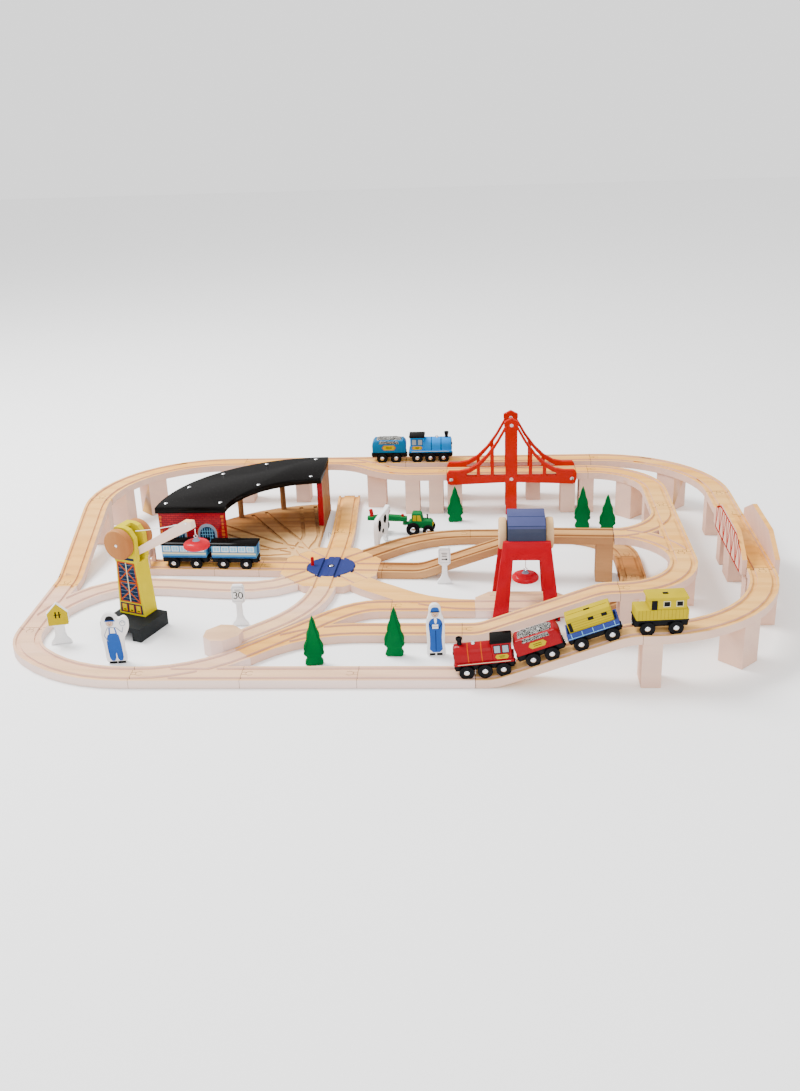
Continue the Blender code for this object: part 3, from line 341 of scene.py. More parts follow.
LEAF = paint("tree_green", (0.0, 0.105, 0.024), 0.42, 0.05)
TRACTOR_GREEN = paint("tractor_green", (0.006, 0.125, 0.032), 0.28)
SCARLET = paint("magnet_red", (0.50, 0.003, 0.018), 0.12, 0.22)
BRICK_RED = paint("quoin_orange", (0.46, 0.095, 0.015), 0.4)
PEG_RED = paint("peg_red", (0.32, 0.004, 0.008), 0.3)
THREAD = paint("white_cord", (0.88, 0.87, 0.83), 0.75, 0.0, relief=0.8)
print(len(bpy.data.materials), "finishes")

# %% [markdown]
# New pieces are grids. grid_faces joins each point to the next one along and across, board() carries
# an outline up through a few rows with eased edges, lathe() carries a profile round an axis, and tube()
# carries a ring along a path. A Gather collects such surfaces, each with its finish, for one piece.

# %% Surface helpers, in millimetres
def grid_faces(rows, columns):
    """Quads of a grid whose every row closes on itself."""
    index = np.arange(rows * columns).reshape(rows, columns)
    here, there = index[:-1], index[1:]
    return np.stack([here, np.roll(here, -1, 1), np.roll(there, -1, 1), there], -1).reshape(-1, 4).tolist()


def board(outline, low, high, ease=0.5):
    """An outline carried up from low to high; near each end it shrinks by ease along its own normals."""
    ring = np.asarray(outline, float)
    along = np.roll(ring, -1, 0) - ring
    along /= np.linalg.norm(along, axis=1, keepdims=True)
    out = np.stack([along[:, 1], -along[:, 0]], 1)
    twice = np.sum(ring[:, 0] * np.roll(ring[:, 1], -1) - ring[:, 1] * np.roll(ring[:, 0], -1))
    out = out * np.sign(twice)
    mitre = out + np.roll(out, 1, 0)
    mitre /= np.maximum(np.sum(mitre * out, 1, keepdims=True), 0.5)
    steps = [(low, ease), (low + 0.3 * ease, 0.3 * ease), (low + ease, 0.0),
             (high - ease, 0.0), (high - 0.3 * ease, 0.3 * ease), (high, ease)]
    if ease <= 0:
        steps = [(low, 0.0), (high, 0.0)]
    rows = [np.column_stack([ring - mitre * inset, np.full(len(ring), height)]) for height, inset in steps]
    count = len(ring)
    faces = grid_faces(len(rows), count)
    faces += [list(range(count))[::-1], list(range(count * (len(rows) - 1), count * len(rows)))]
    return np.concatenate(rows), faces


def brick(low, high, ease=0.8):
    """A box between two corners, with eased edges all round its upright sides and ends."""
    (x0, y0, z0), (x1, y1, z1) = low, high
    e = min(ease, (x1 - x0) / 3, (y1 - y0) / 3)
    outline = [(x0 + e, y0), (x1 - e, y0), (x1, y0 + e), (x1, y1 - e), (x1 - e, y1), (x0 + e, y1),
               (x0, y1 - e), (x0, y0 + e)]
    return board(outline, z0, z1, min(ease, (z1 - z0) / 3))


def lathe(profile, sides=36):
    """Radius and height pairs carried round the Z axis: (r cos a, r sin a, h)."""
    profile = np.asarray(profile, float)
    angle = np.linspace(0, 2 * math.pi, sides, endpoint=False)
    x = profile[:, :1] * np.cos(angle)
    y = profile[:, :1] * np.sin(angle)
    points = np.stack([x, y, np.repeat(profile[:, 1:], sides, 1)], -1).reshape(-1, 3)
    faces = grid_faces(len(profile), sides)
    last = sides * (len(profile) - 1)
    return points, faces + [list(range(sides))[::-1], list(range(last, last + sides))]


def tube(path, radius, sides=8):
    """A ring carried along a path: centre + radius (cos a side + sin a lift)."""
    path = np.asarray(path, float)
    ahead = np.gradient(path, axis=0)
    ahead /= np.linalg.norm(ahead, axis=1, keepdims=True)
    hint = np.array([0.0, 0.0, 1.0]) if np.abs(ahead[:, 2]).mean() < 0.8 else np.array([1.0, 0.0, 0.0])
    side = np.cross(ahead, hint)
    side /= np.maximum(np.linalg.norm(side, axis=1, keepdims=True), 1e-9)
    lift = np.cross(side, ahead)
    angle = np.linspace(0, 2 * math.pi, sides, endpoint=False)[None, :, None]
    points = path[:, None] + radius * (np.cos(angle) * side[:, None] + np.sin(angle) * lift[:, None])
    last = sides * (len(path) - 1)
    faces = grid_faces(len(path), sides) + [list(range(sides))[::-1], list(range(last, last + sides))]
    return points.reshape(-1, 3), faces


def arc(centre, radius, start, stop, count=12):
    """Points on a circle in the plane, between two angles in degrees."""
    angle = np.radians(np.linspace(start, stop, count))
    return np.column_stack([centre[0] + radius * np.cos(angle), centre[1] + radius * np.sin(angle)])


def move(x=0.0, y=0.0, z=0.0):
    """The matrix that carries a point by x, y, z."""
    made = np.eye(4)
    made[:3, 3] = x, y, z
    return made


def spin(axis, degrees):
    """The matrix that turns a point about X, Y or Z."""
    return np.array(Matrix.Rotation(math.radians(degrees), 4, axis))


# an outline in x and z, depth to -y
STAND = np.array([[1, 0, 0, 0], [0, 0, -1, 0], [0, 1, 0, 0], [0, 0, 0, 1]], float)
# an outline in y and z, depth to +x
ALONG = np.array([[0, 0, 1, 0], [1, 0, 0, 0], [0, 1, 0, 0], [0, 0, 0, 1]], float)
# a lathe axis laid along y
ACROSS = spin("X", 90)


class Gather:
    """Surfaces collected for one piece."""

    def __init__(self, place=None):
        self.place = np.eye(4) if place is None else place
        self.points, self.faces, self.marks, self.finishes, self.count = [], [], [], [], 0

    def add(self, surface, finish, place=None):
        """One more surface in a finish, moved to its place on the piece."""
        points, faces = surface
        whole = self.place if place is None else self.place @ place
        if finish not in self.finishes:
            self.finishes.append(finish)
        self.points.append(points @ whole[:3, :3].T + whole[:3, 3])
        self.faces += [[corner + self.count for corner in face] for face in faces]
        self.marks += [self.finishes.index(finish)] * len(faces)
        self.count += len(points)

    def build(self, name, body, *stands_for, angle=32):
        """The piece, with welded poles, outward faces and smooth curves, on its body."""
        mesh = bpy.data.meshes.new(name)
        mesh.from_pydata(np.concatenate(self.points) * 0.001, [], self.faces)
        mesh.polygons.foreach_set("material_index", self.marks)
        for finish in self.finishes:
            mesh.materials.append(finish)
        work = bmesh.new()
        work.from_mesh(mesh)
        bmesh.ops.remove_doubles(work, verts=work.verts, dist=1e-7)
        bmesh.ops.dissolve_degenerate(work, edges=work.edges, dist=1e-8)
        bmesh.ops.recalc_face_normals(work, faces=work.faces)
        work.to_mesh(mesh)
        work.free()
        mesh.shade_smooth()
        mesh.set_sharp_from_angle(angle=math.radians(angle))
        made = bpy.data.objects.new(name, mesh)
        scene.collection.objects.link(made)
        if body:
            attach(made, body)
        if stands_for:
            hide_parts(*stands_for)
        return made


# %% [markdown]
# The tracks and bridges keep the frame's own meshes. Their corners are sharp there, and real edges
# are sanded, so each gets a Weld and a small Bevel, which leave the frame's points where they are.

# %% Finishes for the frame's own nodes
def dress(name, finish, ease=0.6):
    """A node of the frame with its finish and softened edges."""
    item = nodes[name]
    item.data.materials.clear()
    item.data.materials.append(finish)
    if ease:
        weld = item.modifiers.new("weld", "WELD")
        weld.merge_threshold = 0.00002
        bevel = item.modifiers.new("ease", "BEVEL")
        bevel.width = ease * 0.001
        bevel.segments = 2
        bevel.limit_method = "ANGLE"
        bevel.angle_limit = math.radians(38)
        bevel.harden_normals = False


for name, finish in (("front_left_track", PALE), ("centre_switch_track", BEECH), ("reversing_loop_track", WARM),
                     ("gantry_platform", PALE), ("west_track", BEECH), ("north_track", BEECH_Y),
                     ("spur_track", PALE),
                     ("east_ramp_track", WARM), ("front_ramp_track", BEECH), ("walled_bridge", BEECH_Y),
                     ("back_raised_track", BEECH), ("inner_raised_track", BEECH), ("suspension_deck", BEECH),
                     ("turntable_base", BEECH), ("roundhouse_walls", SHADED_FLOOR), ("bridge_truss_front", ORANGE),
                     ("bridge_truss_back", ORANGE), ("crane_base", MATT), ("crane_tower", SAFFRON),
                     ("crane_boom", PALE)):
    dress(name, finish)
print("dressed the frame")

# %% [markdown]
# Each vehicle has its own level: the line between its end axles is x, y is level across it. A wheelset
# is one lathe shape with a black tyre, a raised rim and a domed steel hub, on a steel axle.

# %% Vehicle places and wheels
def centre(name):
    """Middle of a node, in millimetres."""
    low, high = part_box(name)
    return (np.array(low) + np.array(high)) * 500.0


def vehicle_place(first, last, radius=10.0):
    """A matrix with x from the first axle to the last, and the wheels' lowest point as its origin."""
    one, other = centre(first), centre(last)
    x = (other - one) / np.linalg.norm(other - one)
    y = np.cross((0, 0, 1.0), x)
    y /= np.linalg.norm(y)
    made = np.eye(4)
    made[:3, 0], made[:3, 1], made[:3, 2] = x, y, np.cross(x, y)
    made[:3, 3] = (one + other) / 2 - radius * made[:3, 2]
    return made


def wheelset(name, body, place, radius=10.0, inner=10.8, outer=15.2):
    """Two wheels and their axle: a profile of the tyre's section, carried round the axle."""
    r = radius
    item = Gather(place)
    for side in (1, -1):
        turn = ACROSS @ spin("X", 0 if side < 0 else 180)
        tyre = [(1.4, inner), (r - 1.2, inner), (r - 0.3, inner + 0.4), (r, inner + 1.1), (r, outer - 1.1),
                (r - 0.35, outer - 0.3),
                (r - 1.1, outer), (r * 0.74, outer), (r * 0.66, outer - 0.7), (r * 0.40, outer - 0.7),
                (1.4, outer - 0.7)]
        item.add(lathe(tyre, 36), SATIN, turn)
        hub = [(0.9, outer - 1.2), (r * 0.36, outer - 1.2), (r * 0.36, outer - 0.3), (r * 0.30, outer + 0.15),
               (r * 0.18, outer + 0.5), (0.01, outer + 0.62)]
        item.add(lathe(hub, 24), STEEL, turn)
    item.add(lathe([(1.4, -inner - 0.5), (1.4, inner + 0.5)], 14), STEEL, ACROSS)
    return item.build(name + "_turned", body, name)


def side_plates(item, outline, depth, finish, thick=0.25, x=0.0, z=0.0):
    """The same flat print on both sides of a vehicle, depth from its middle."""
    flipped = [(-a, b) for a, b in outline][::-1]
    item.add(board(outline, depth, depth + thick, 0), finish, move(x, 0, z) @ STAND)
    item.add(board(flipped, depth, depth + thick, 0), finish, move(x, 0, z) @ spin("Z", 180) @ STAND)


def oblong(width, height):
    """A rectangle about the origin."""
    return [(-width / 2, -height / 2), (width / 2, -height / 2), (width / 2, height / 2),
            (-width / 2, height / 2)]


def name_plate(item, x, z, depth, scale=1.0):
    """A six-sided yellow plate with a dark rim and two plain bars."""
    hexagon = np.array([(-11, 0), (-8, -4), (8, -4), (11, 0), (8, 4), (-8, 4)], float) * scale
    side_plates(item, (hexagon * 1.10).tolist(), depth, PEG_RED, 0.2, x, z)
    side_plates(item, hexagon.tolist(), depth, YELLOW, 0.32, x, z)
    for lift in (1.2, -1.2):
        side_plates(item, oblong(10 * scale, 0.8 * scale), depth, SATIN, 0.4, x, z + lift * scale)


def chassis(item, half, axles):
    """The black block over the wheels, its axle boxes, and a steel magnet in a cup at each end."""
    item.add(brick((-half, -9.5, 11.0), (half, 9.5, 21.4), 1.0), SATIN)
    for x in axles:
        item.add(brick((x - 4.5, -10.4, 14.5), (x + 4.5, 10.4, 21.0), 0.6), SATIN)
    for side in (-1, 1):
        turn = move(side * (half - 0.6), 0, 14) @ spin("Y", 90 * side)
        item.add(lathe([(4.3, 0), (4.3, 1.4), (3.7, 2.0), (3.2, 2.0), (3.2, 0.6)], 24), SATIN, turn)
        item.add(lathe([(3.0, 0.4), (3.0, 2.3), (2.6, 2.7), (0.7, 2.7), (0.5, 2.1), (0.01, 2.1)], 24), STEEL,
                 turn)


# %% [markdown]
# A locomotive is a block with a half-round top. Its boiler section is an outline in y and z carried
# along x, with a cab, an overhanging roof, a flared funnel, two windows a side and a yellow plate.

# %% Locomotives
def locomotive(name, body, front, colour, place):
    """front is -1 or 1, the way the funnel faces along x."""
    item = Gather(place)
    chassis(item, 39.5, (-24.5, 0.0, 24.5))
    item.add(brick((-40, -14.6, 20.8), (40, 14.6, 25.0), 1.0), colour)
    crown = [(-12.8, 24.5), (12.8, 24.5)] + [tuple(p) for p in arc((0, 34), 12.8, 0, 180, 19)]
    low, high = sorted((front * -12.0, front * 38.6))
    item.add(board(crown, low, high, 1.6), colour, ALONG)
    for x in (front * 2.0, front * 20.0):
        band = [(-13.05, 24.5), (13.05, 24.5)] + [tuple(p) for p in arc((0, 34), 13.05, 0, 180, 19)]
        item.add(board(band, x - 0.6, x + 0.6, 0.2), SATIN if colour is not RED else TANGERINE, ALONG)
    nose = move(front * 38.4, 0, 34) @ spin("Y", 90 * front)
    item.add(lathe([(9.6, 0), (9.6, 0.8), (8.8, 1.2), (2.6, 1.5), (2.0, 2.3), (0.01, 2.4)], 32), SATIN, nose)
    low, high = sorted((front * -11.5, front * -37.5))
    item.add(brick((low, -13.4, 24.5), (high, 13.4, 49.0), 1.0), colour)
    low, high = sorted((front * -10.0, front * -39.2))
    item.add(brick((low, -14.8, 48.6), (high, 14.8, 53.0), 1.4), BLACK)
    funnel = [(0.01, 45), (3.1, 45), (3.1, 50.5), (3.3, 52.2), (4.2, 53.6), (4.4, 56.2), (3.9, 57.0),
              (2.6, 57.0), (2.4, 55.0), (0.01, 55.0)]
    item.add(lathe(funnel, 28), SATIN, move(front * 30, 0, 0))
    item.add(lathe([(3.4, 45), (3.4, 47.4), (2.6, 49.0), (0.01, 49.6)], 24), STEEL, move(front * 12, 0, 0))
    for x in (front * -18.8, front * -29.8):
        for frame_size, finish, thick in (((9.6, 12.0), SATIN, 0.2), ((7.6, 10.0), GREY, 0.34)):
            outline = oblong(*frame_size)
            item.add(board(outline, 13.4, 13.4 + thick, 0), finish, move(x, 0, 40.5) @ STAND)
            item.add(board(outline, 13.4, 13.4 + thick, 0), finish, move(x, 0, 40.5) @ spin("Z", 180) @ STAND)
    side_plates(item, oblong(70, 0.7), 14.6, CREAM, 0.15, 0, 23.0)
    for turn in (0, 180):
        hexagon = np.array([(-9, 0), (-6.8, -3.2), (6.8, -3.2), (9, 0), (6.8, 3.2), (-6.8, 3.2)], float)
        stand = move(front * -24.4, 0, 29.6) @ spin("Z", turn) @ STAND
        item.add(board(hexagon * 1.12, 13.4, 13.62, 0), PEG_RED, stand)
        item.add(board(hexagon, 13.4, 13.8, 0), YELLOW, stand)
        item.add(board(oblong(8, 0.8), 13.4, 13.9, 0), SATIN, stand @ move(0, 0.9, 0))
        item.add(board(oblong(6, 0.8), 13.4, 13.9, 0), SATIN, stand @ move(0, -0.9, 0))
    return item.build(name, body, body + "_body")


RED_LOCO = vehicle_place("red_loco_wheels_1", "red_loco_wheels_3")
BLUE_LOCO = vehicle_place("blue_loco_wheels_1", "blue_loco_wheels_3")
locomotive("red_engine", "red_loco", -1, RED, RED_LOCO)
locomotive("blue_engine", "blue_loco", 1, SKY, BLUE_LOCO)

# %% [markdown]
# The coal on a tender is a height field: its height is a sum of a few sine waves of x and y, folded so
# that it makes lumps. The lumps are black with pale chips between them.

# %% Tenders
def coal_finish():
    """Black lumps with white chips, from a cell pattern about three millimetres across."""
    made = paint("coal_print", (0.01, 0.01, 0.01), 0.4, 0.2)
    tree = made.node_tree
    cells = node(tree, "ShaderNodeTexVoronoi",
                 {"Vector": node(tree, "ShaderNodeTexCoord").outputs["Object"], "Scale": 420.0},
                 feature="DISTANCE_TO_EDGE")
    edge = spread(tree, cells.outputs["Distance"], 0.03, 0.10, 1.0, 0.0)
    shade = blend_colour(tree, edge, (0.005, 0.005, 0.005, 1), (0.42, 0.41, 0.38, 1))
    tree.links.new(shade, tree.nodes["Principled BSDF"].inputs["Base Color"])
    return made


COAL = coal_finish()


def coal_heap(half_x, half_y, low, top, columns=46, rows=22):
    """Height = low + (top - low) (edge fall) (1 + folded waves), on a grid closed by a flat floor."""
    u, v = np.meshgrid(np.linspace(-1, 1, columns), np.linspace(-1, 1, rows), indexing="ij")
    fall = np.clip((1 - np.abs(u)**6) * (1 - np.abs(v)**4), 0, 1)
    lumps = np.abs(np.sin(u * 17 + 3 * np.sin(v * 4))) * np.abs(np.sin(v * 9 + 2 * np.sin(u * 6)))
    z = low + (top - low) * fall * (0.72 + 0.28 * lumps)
    points = np.stack([u * half_x, v * half_y, z], -1).reshape(-1, 3)
    index = np.arange(columns * rows).reshape(columns, rows)
    quads = np.stack([index[:-1, :-1], index[1:, :-1], index[1:, 1:], index[:-1, 1:]], -1).reshape(-1,
                                                                                                   4).tolist()
    rim = list(index[:, 0]) + list(index[-1, 1:]) + list(index[-2::-1, -1]) + list(index[0, -2:0:-1])
    return points, quads + [[int(i) for i in rim][::-1]]


def tender(name, body, colour, place):
    """A tender: a rounded body with side plates over a heap of coal, on a black frame."""
    item = Gather(place)
    chassis(item, 32.0, (-13.0, 13.0))
    sides = [(-31, 20.8), (31, 20.8), (31.6, 34), (30.6, 39.5), (26.5, 44.4), (-26.5, 44.4), (-30.6, 39.5),
             (-31.6, 34)]
    item.add(board(sides, -14.8, 14.8, 2.4), colour, STAND)
    item.add(coal_heap(25, 11.4, 43.0, 48.6), COAL)
    for turn in (0, 180):
        stand = spin("Z", turn) @ STAND
        item.add(board([(-19, 38.2), (19, 38.2), (17, 43.6), (-17, 43.6)], 13.2, 15.0, 0.1), COAL, stand)
    name_plate(item, 0, 31, 14.8, 1.1)
    return item.build(name, body, body + "_body")


RED_TENDER = vehicle_place("red_tender_wheels_1", "red_tender_wheels_2")
BLUE_TENDER = vehicle_place("blue_tender_wheels_1", "blue_tender_wheels_2")
tender("red_coal_car", "red_tender", RED, RED_TENDER)
tender("blue_coal_car", "blue_tender", TENDER_SKY, BLUE_TENDER)

# %% [markdown]
# The boxcar is a yellow box with printed planks and black windows on a blue tray. The caboose steps up
# from a low deck to a ribbed cabin.

# %% Boxcar and caboose
def boxcar(place):
    """The boxcar: a pitched yellow body with plank lines and windows in a blue tray."""
    item = Gather(place)
    chassis(item, 35.0, (-21.0, 21.0))
    item.add(brick((-35, -15, 20.8), (35, 15, 24.6), 0.9), WAGON_BLUE)
    for side in (-1, 1):
        item.add(brick((-35, side * 14.2 - 0.8, 24), (35, side * 14.2 + 0.8, 30.0), 0.5), WAGON_BLUE)
    for side in (-1, 1):
        item.add(brick((side * 33.8 - 1.0, -14, 24), (side * 33.8 + 1.0, 14, 30.0), 0.5), WAGON_BLUE)
    for x in np.linspace(-29, 29, 5):
        side_plates(item, oblong(0.7, 8.0), 15.0, GLASS, 0.12, x, 25.6)
    side_plates(item, oblong(68, 0.6), 15.0, GLASS, 0.12, 0, 22.6)
    item.add(brick((-30, -12.8, 24.4), (30, 12.8, 50.0), 1.2), YELLOW)
    for z in (33.5, 37.0, 40.5, 44.0):
        side_plates(item, oblong(58, 0.45), 12.8, DULL_YELLOW, 0.1, 0, z)
    for turn in (0, 180):
        stand = spin("Z", turn) @ STAND
        for x, z, wide, high in ((-26.5, 37.5, 4.6, 13.0), (2.0, 42.0, 7.4, 4.6), (20.0, 42.0, 7.4, 4.6)):
            item.add(board(oblong(wide, high), 12.8, 13.05, 0), SATIN, stand @ move(x, z, 0))
    item.add(brick((-27, -0.35, 49.9), (27, 0.35, 50.3), 0.1), DULL_YELLOW)
    item.add(brick((-4, -1.6, 49.9), (4, 1.6, 50.9), 0.3), SATIN)
    return item.build("yellow_box", "yellow_boxcar", "yellow_boxcar_body")


def caboose(place):
    """The caboose: a planked yellow body with a raised cabin at one end."""
    item = Gather(place)
    chassis(item, 35.0, (-18.5, 18.5))
    item.add(brick((-34, -14.8, 20.8), (34, 14.8, 37.0), 1.0), YELLOW)
    item.add(brick((-34.6, -15.2, 20.4), (34.6, 15.2, 23.0), 0.6), SATIN)
    item.add(brick((-17, -13.6, 36.4), (31, 13.6, 50.4), 1.0), YELLOW)
    item.add(brick((-20, -14.8, 50.0), (33.5, 14.8, 53.8), 1.6), YELLOW)
    item.add(brick((2, -2.4, 53.6), (9, 2.4, 54.6), 0.4), SATIN)
    for x in np.linspace(-31, 31, 14):
        side_plates(item, oblong(0.45, 13.0), 14.8, DULL_YELLOW, 0.1, x, 30.4)
    for turn in (0, 180):
        stand = spin("Z", turn) @ STAND
        for x, z, wide, high in ((5.0, 44.6, 7.6, 6.4), (21.5, 44.6, 7.6, 6.4)):
            sign = 1 if turn == 0 else -1
            item.add(board(oblong(wide + 1.6, high + 1.6), 13.6, 13.8, 0), CREAM, stand @ move(x * sign, z, 0))
            item.add(board(oblong(wide, high), 13.6, 13.95, 0), SATIN, stand @ move(x * sign, z, 0))
        item.add(board(oblong(7.4, 13.0), 13.6, 13.95, 0), SATIN,
                 stand @ move(-11 * (1 if turn == 0 else -1), 43.4, 0))
    return item.build("yellow_cabin", "yellow_caboose", "yellow_caboose_body")


boxcar(vehicle_place("yellow_boxcar_wheels_1", "yellow_boxcar_wheels_2"))
caboose(vehicle_place("yellow_caboose_wheels_1", "yellow_caboose_wheels_2"))

# %% [markdown]
# A coach is a plain block with an arched roof. The roof is an outline in y and z carried along x, and
# the bands and framed windows are thin plates, the same on both sides.

# %% Coaches
def coach(name, body, place):
    """A light blue coach: bands along its sides, five framed windows a side, and an arched black roof."""
    item = Gather(place)
    chassis(item, 38.0, (-19.0, 19.0))
    item.add(brick((-37, -14.4, 20.8), (37, 14.4, 43.0), 0.9), COACH)
    crown = [(-15, 42.2), (15, 42.2), (15, 43.4)]
    crown += [(15 * math.cos(a), 43.4 + 4.4 * math.sin(a)) for a in np.linspace(0.25, 2.89, 15)]
    crown.append((-15, 43.4))
    item.add(board(crown, -38.4, 38.4, 0.8), BLACK, ALONG)
    side_plates(item, oblong(73, 3.0), 14.4, CREAM, 0.12, 0, 28.4)
    side_plates(item, oblong(73, 0.8), 14.4, COACH_DEEP, 0.2, 0, 30.3)
    side_plates(item, oblong(73, 2.2), 14.4, COACH_DEEP, 0.14, 0, 22.6)
    for x in np.linspace(-28, 28, 5):
        side_plates(item, oblong(11.6, 9.2), 14.4, WHITE, 0.2, x, 36.4)
        side_plates(item, oblong(9.4, 7.0), 14.4, GLASS, 0.32, x, 36.4)
        side_plates(item, oblong(0.5, 7.0), 14.4, WHITE, 0.36, x, 36.4)
    for side in (-1, 1):
        turn = move(side * 37.0, 0, 33) @ spin("Z", 90 * side) @ STAND
        item.add(board(oblong(9, 17), -0.1, 0.35, 0), COACH_DEEP, turn)
    return item.build(name, body, body + "_body")


coach("left_blue_coach", "left_coach", vehicle_place("left_coach_wheels_1", "left_coach_wheels_2"))
coach("right_blue_coach", "right_coach", vehicle_place("right_coach_wheels_1", "right_coach_wheels_2"))

# %% [markdown]
# Every wheelset in the frame is a body of its own that turns about its axle, so each one gets its own
# turned piece, centred on the frame's wheels and square to the vehicle's line.

# %% Wheels of every vehicle
for vehicle, count in (("red_loco", 3), ("red_tender", 2), ("yellow_boxcar", 2), ("yellow_caboose", 2),
                       ("blue_tender", 2), ("blue_loco", 3), ("left_coach", 2), ("right_coach", 2)):
    place = vehicle_place(f"{vehicle}_wheels_1", f"{vehicle}_wheels_{count}")
    for number in range(1, count + 1):
        name = f"{vehicle}_wheels_{number}"
        here = place.copy()
        here[:3, 3] = centre(name)
        wheelset(name, name, here)
print("trains made")

# %% [markdown]
# The tractor and its jib trailer are small green blocks with yellow windows. The trailer's arm lies
# over one axle and carries a red peg.

# %% Tractor and trailer
TRACTOR = vehicle_place("tractor_rear_wheels", "tractor_front_wheels")
TRACTOR[:3, :3] = spin("Z", -4)[:3, :3]
TRACTOR[:3, 3] = 22.0, 172.0, 0.3
item = Gather(TRACTOR)
hood = [(-19, 12), (22, 12), (23, 16), (22.4, 24), (19, 26.6), (4, 27.4), (-6, 27), (-19, 24)]
item.add(board(hood, -8.6, 8.6, 1.4), TRACTOR_GREEN, STAND)
cab = [(-14, 24), (6.6, 24), (3.2, 38.4), (0.8, 40.0), (-11.4, 40.0), (-13.4, 38.0)]
item.add(board(cab, -8.4, 8.4, 1.0), TRACTOR_GREEN, STAND)
for turn, flip in ((0, 1), (180, -1)):
    stand = spin("Z", turn) @ STAND
    for outline in ([(-11.5, 26.5), (-5.4, 26.5), (-5.4, 36.6), (-10.8, 36.6)],
                    [(-4.0, 26.5), (3.9, 26.5), (1.6, 36.6), (-4.0, 36.6)]):
        shape = [(x * flip, z) for x, z in outline]
        item.add(board(shape[::flip], 8.4, 8.75, 0), YELLOW, stand)
item.add(board([(-6.5, 26.5), (6.5, 26.5), (6.5, 36.0), (-6.5, 36.0)], 0, 0.4, 0), YELLOW,
         move(3.4, 0, 0) @ spin("Z", 90) @ STAND @ spin("X", -13))
item.add(board([(-6, 16), (6, 16), (6, 22.6), (-6, 22.6)], 22.8, 23.3, 0), YELLOW, spin("Z", 90) @ STAND)
item.add(brick((-30, -3.6, 16.4), (-18, 3.6, 21.6), 0.8), TRACTOR_GREEN)
item.add(lathe([(1.3, 26), (1.3, 33), (1.8, 33.4), (1.8, 34.6), (0.01, 35)], 16), SATIN, move(13, 4, 0))
item.build("green_tractor", "tractor", "tractor_body")
item = Gather(TRACTOR)
arm = [(-92, 24.6), (-30, 23.4), (-22.5, 23.4), (-22.5, 30.6), (-36, 33.0), (-60, 34.4), (-92, 30.4)]
item.add(board(arm, -5.8, 5.8, 1.2), TRACTOR_GREEN, STAND)
item.add(brick((-72, -5.4, 11), (-60, 5.4, 26), 1.0), TRACTOR_GREEN)
item.add(lathe([(0.01, 15), (1.7, 15), (1.7, 24), (0.01, 24)], 14), PEG_RED, move(-26, 0, 0))
item.add(lathe([(3.4, 31), (3.4, 43.4), (2.8, 44), (0.01, 44)], 20), PEG_RED, move(-80, 0, 0) @ spin("Y", -8))
item.add(lathe([(2.6, 27), (2.6, 35.4), (2.0, 36), (0.01, 36)], 20), PEG_RED, move(-30, 0, -0.4))
item.build("jib_trailer", "trailer", "tractor_trailer")
for name, r, inner, outer in (("tractor_rear_wheels", 12.0, 9.8, 15.0),
                              ("tractor_front_wheels", 10.0, 9.8, 15.0), ("trailer_wheels", 11.0, 7.0, 12.0)):
    here = TRACTOR.copy()
    here[:3, 3] = centre(name)
    wheelset(name, name, here, r, inner, outer)

# %% [markdown]
# The tower crane's printed sides are thin plates: a navy panel with orange crossed bars, a pale line
# down its middle, and three yellow windows under it. Its head carries turned knobs, joined by the drum.

# %% Tower crane
def node_place(origin, turn):
    """A matrix turned about Z, with its origin in millimetres."""
    return move(*origin) @ spin("Z", turn)


CRANE = node_place((-388.0, -195.0, 0.0), -22.0)
TOWER = CRANE @ move(-4, 18, 0)


def bar(start, stop, width):
    """A flat strip between two points of an outline plane."""
    start, stop = np.array(start, float), np.array(stop, float)
    along = (stop - start) / np.linalg.norm(stop - start)
    out = np.array([-along[1], along[0]]) * width / 2
    return [tuple(start - out), tuple(stop - out), tuple(stop + out), tuple(start + out)]


def tower_side(item, stand):
    """The print on one broad side of the tower, from the windows at its foot to the head."""
    item.add(board([(-18.4, 42), (18.4, 42), (14.9, 106.5), (-15.9, 106.5)], 15, 15.2, 0), NAVY, stand)
    rail = 1.7
    frame_lines = [((-17.6, 42), (-15.2, 106)), ((17.6, 42), (14.2, 106)), ((-17.6, 42.8), (17.6, 42.8)),
                   ((-15.2, 105.6), (14.2, 105.6)), ((-16.6, 74.4), (16.0, 74.4))]
    crosses = [((-17, 44), (15.6, 73)), ((17, 44), (-16.2, 73)), ((-16.2, 76), (14.2, 104.5)),
               ((15.6, 76), (-15.2, 104.5))]
    for start, stop in frame_lines + crosses:
        item.add(board(bar(start, stop, rail), 15, 15.36, 0), TANGERINE, stand)
    item.add(board(bar((0, 43), (-0.6, 106), 1.5), 15, 15.44, 0), CREAM, stand)
    for z in np.linspace(48, 102, 10):
        item.add(board(bar((-15.5, z), (14.5, z + 0.2), 0.35), 15, 15.26, 0), PRINT_GREY, stand)
    item.add(board([(-20.4, 24.5), (20.4, 24.5), (19.2, 39.8), (-19.2, 39.8)], 15, 15.2, 0), NAVY, stand)
    for x in (-12.4, 0.0, 12.4):
        item.add(board(oblong(9.6, 12.2), 15, 15.32, 0), TANGERINE, stand @ move(x, 32.0, 0))
        item.add(board(oblong(7.4, 10.4), 15, 15.42, 0), SAFFRON, stand @ move(x, 32.4, 0))
        item.add(board(oblong(4.2, 1.6), 15, 15.5, 0), SATIN, stand @ move(x, 29.0, 0))
    item.add(board([(-17, 110), (15, 110), (15, 114), (-17, 114)], 15, 15.3, 0), NAVY, stand)


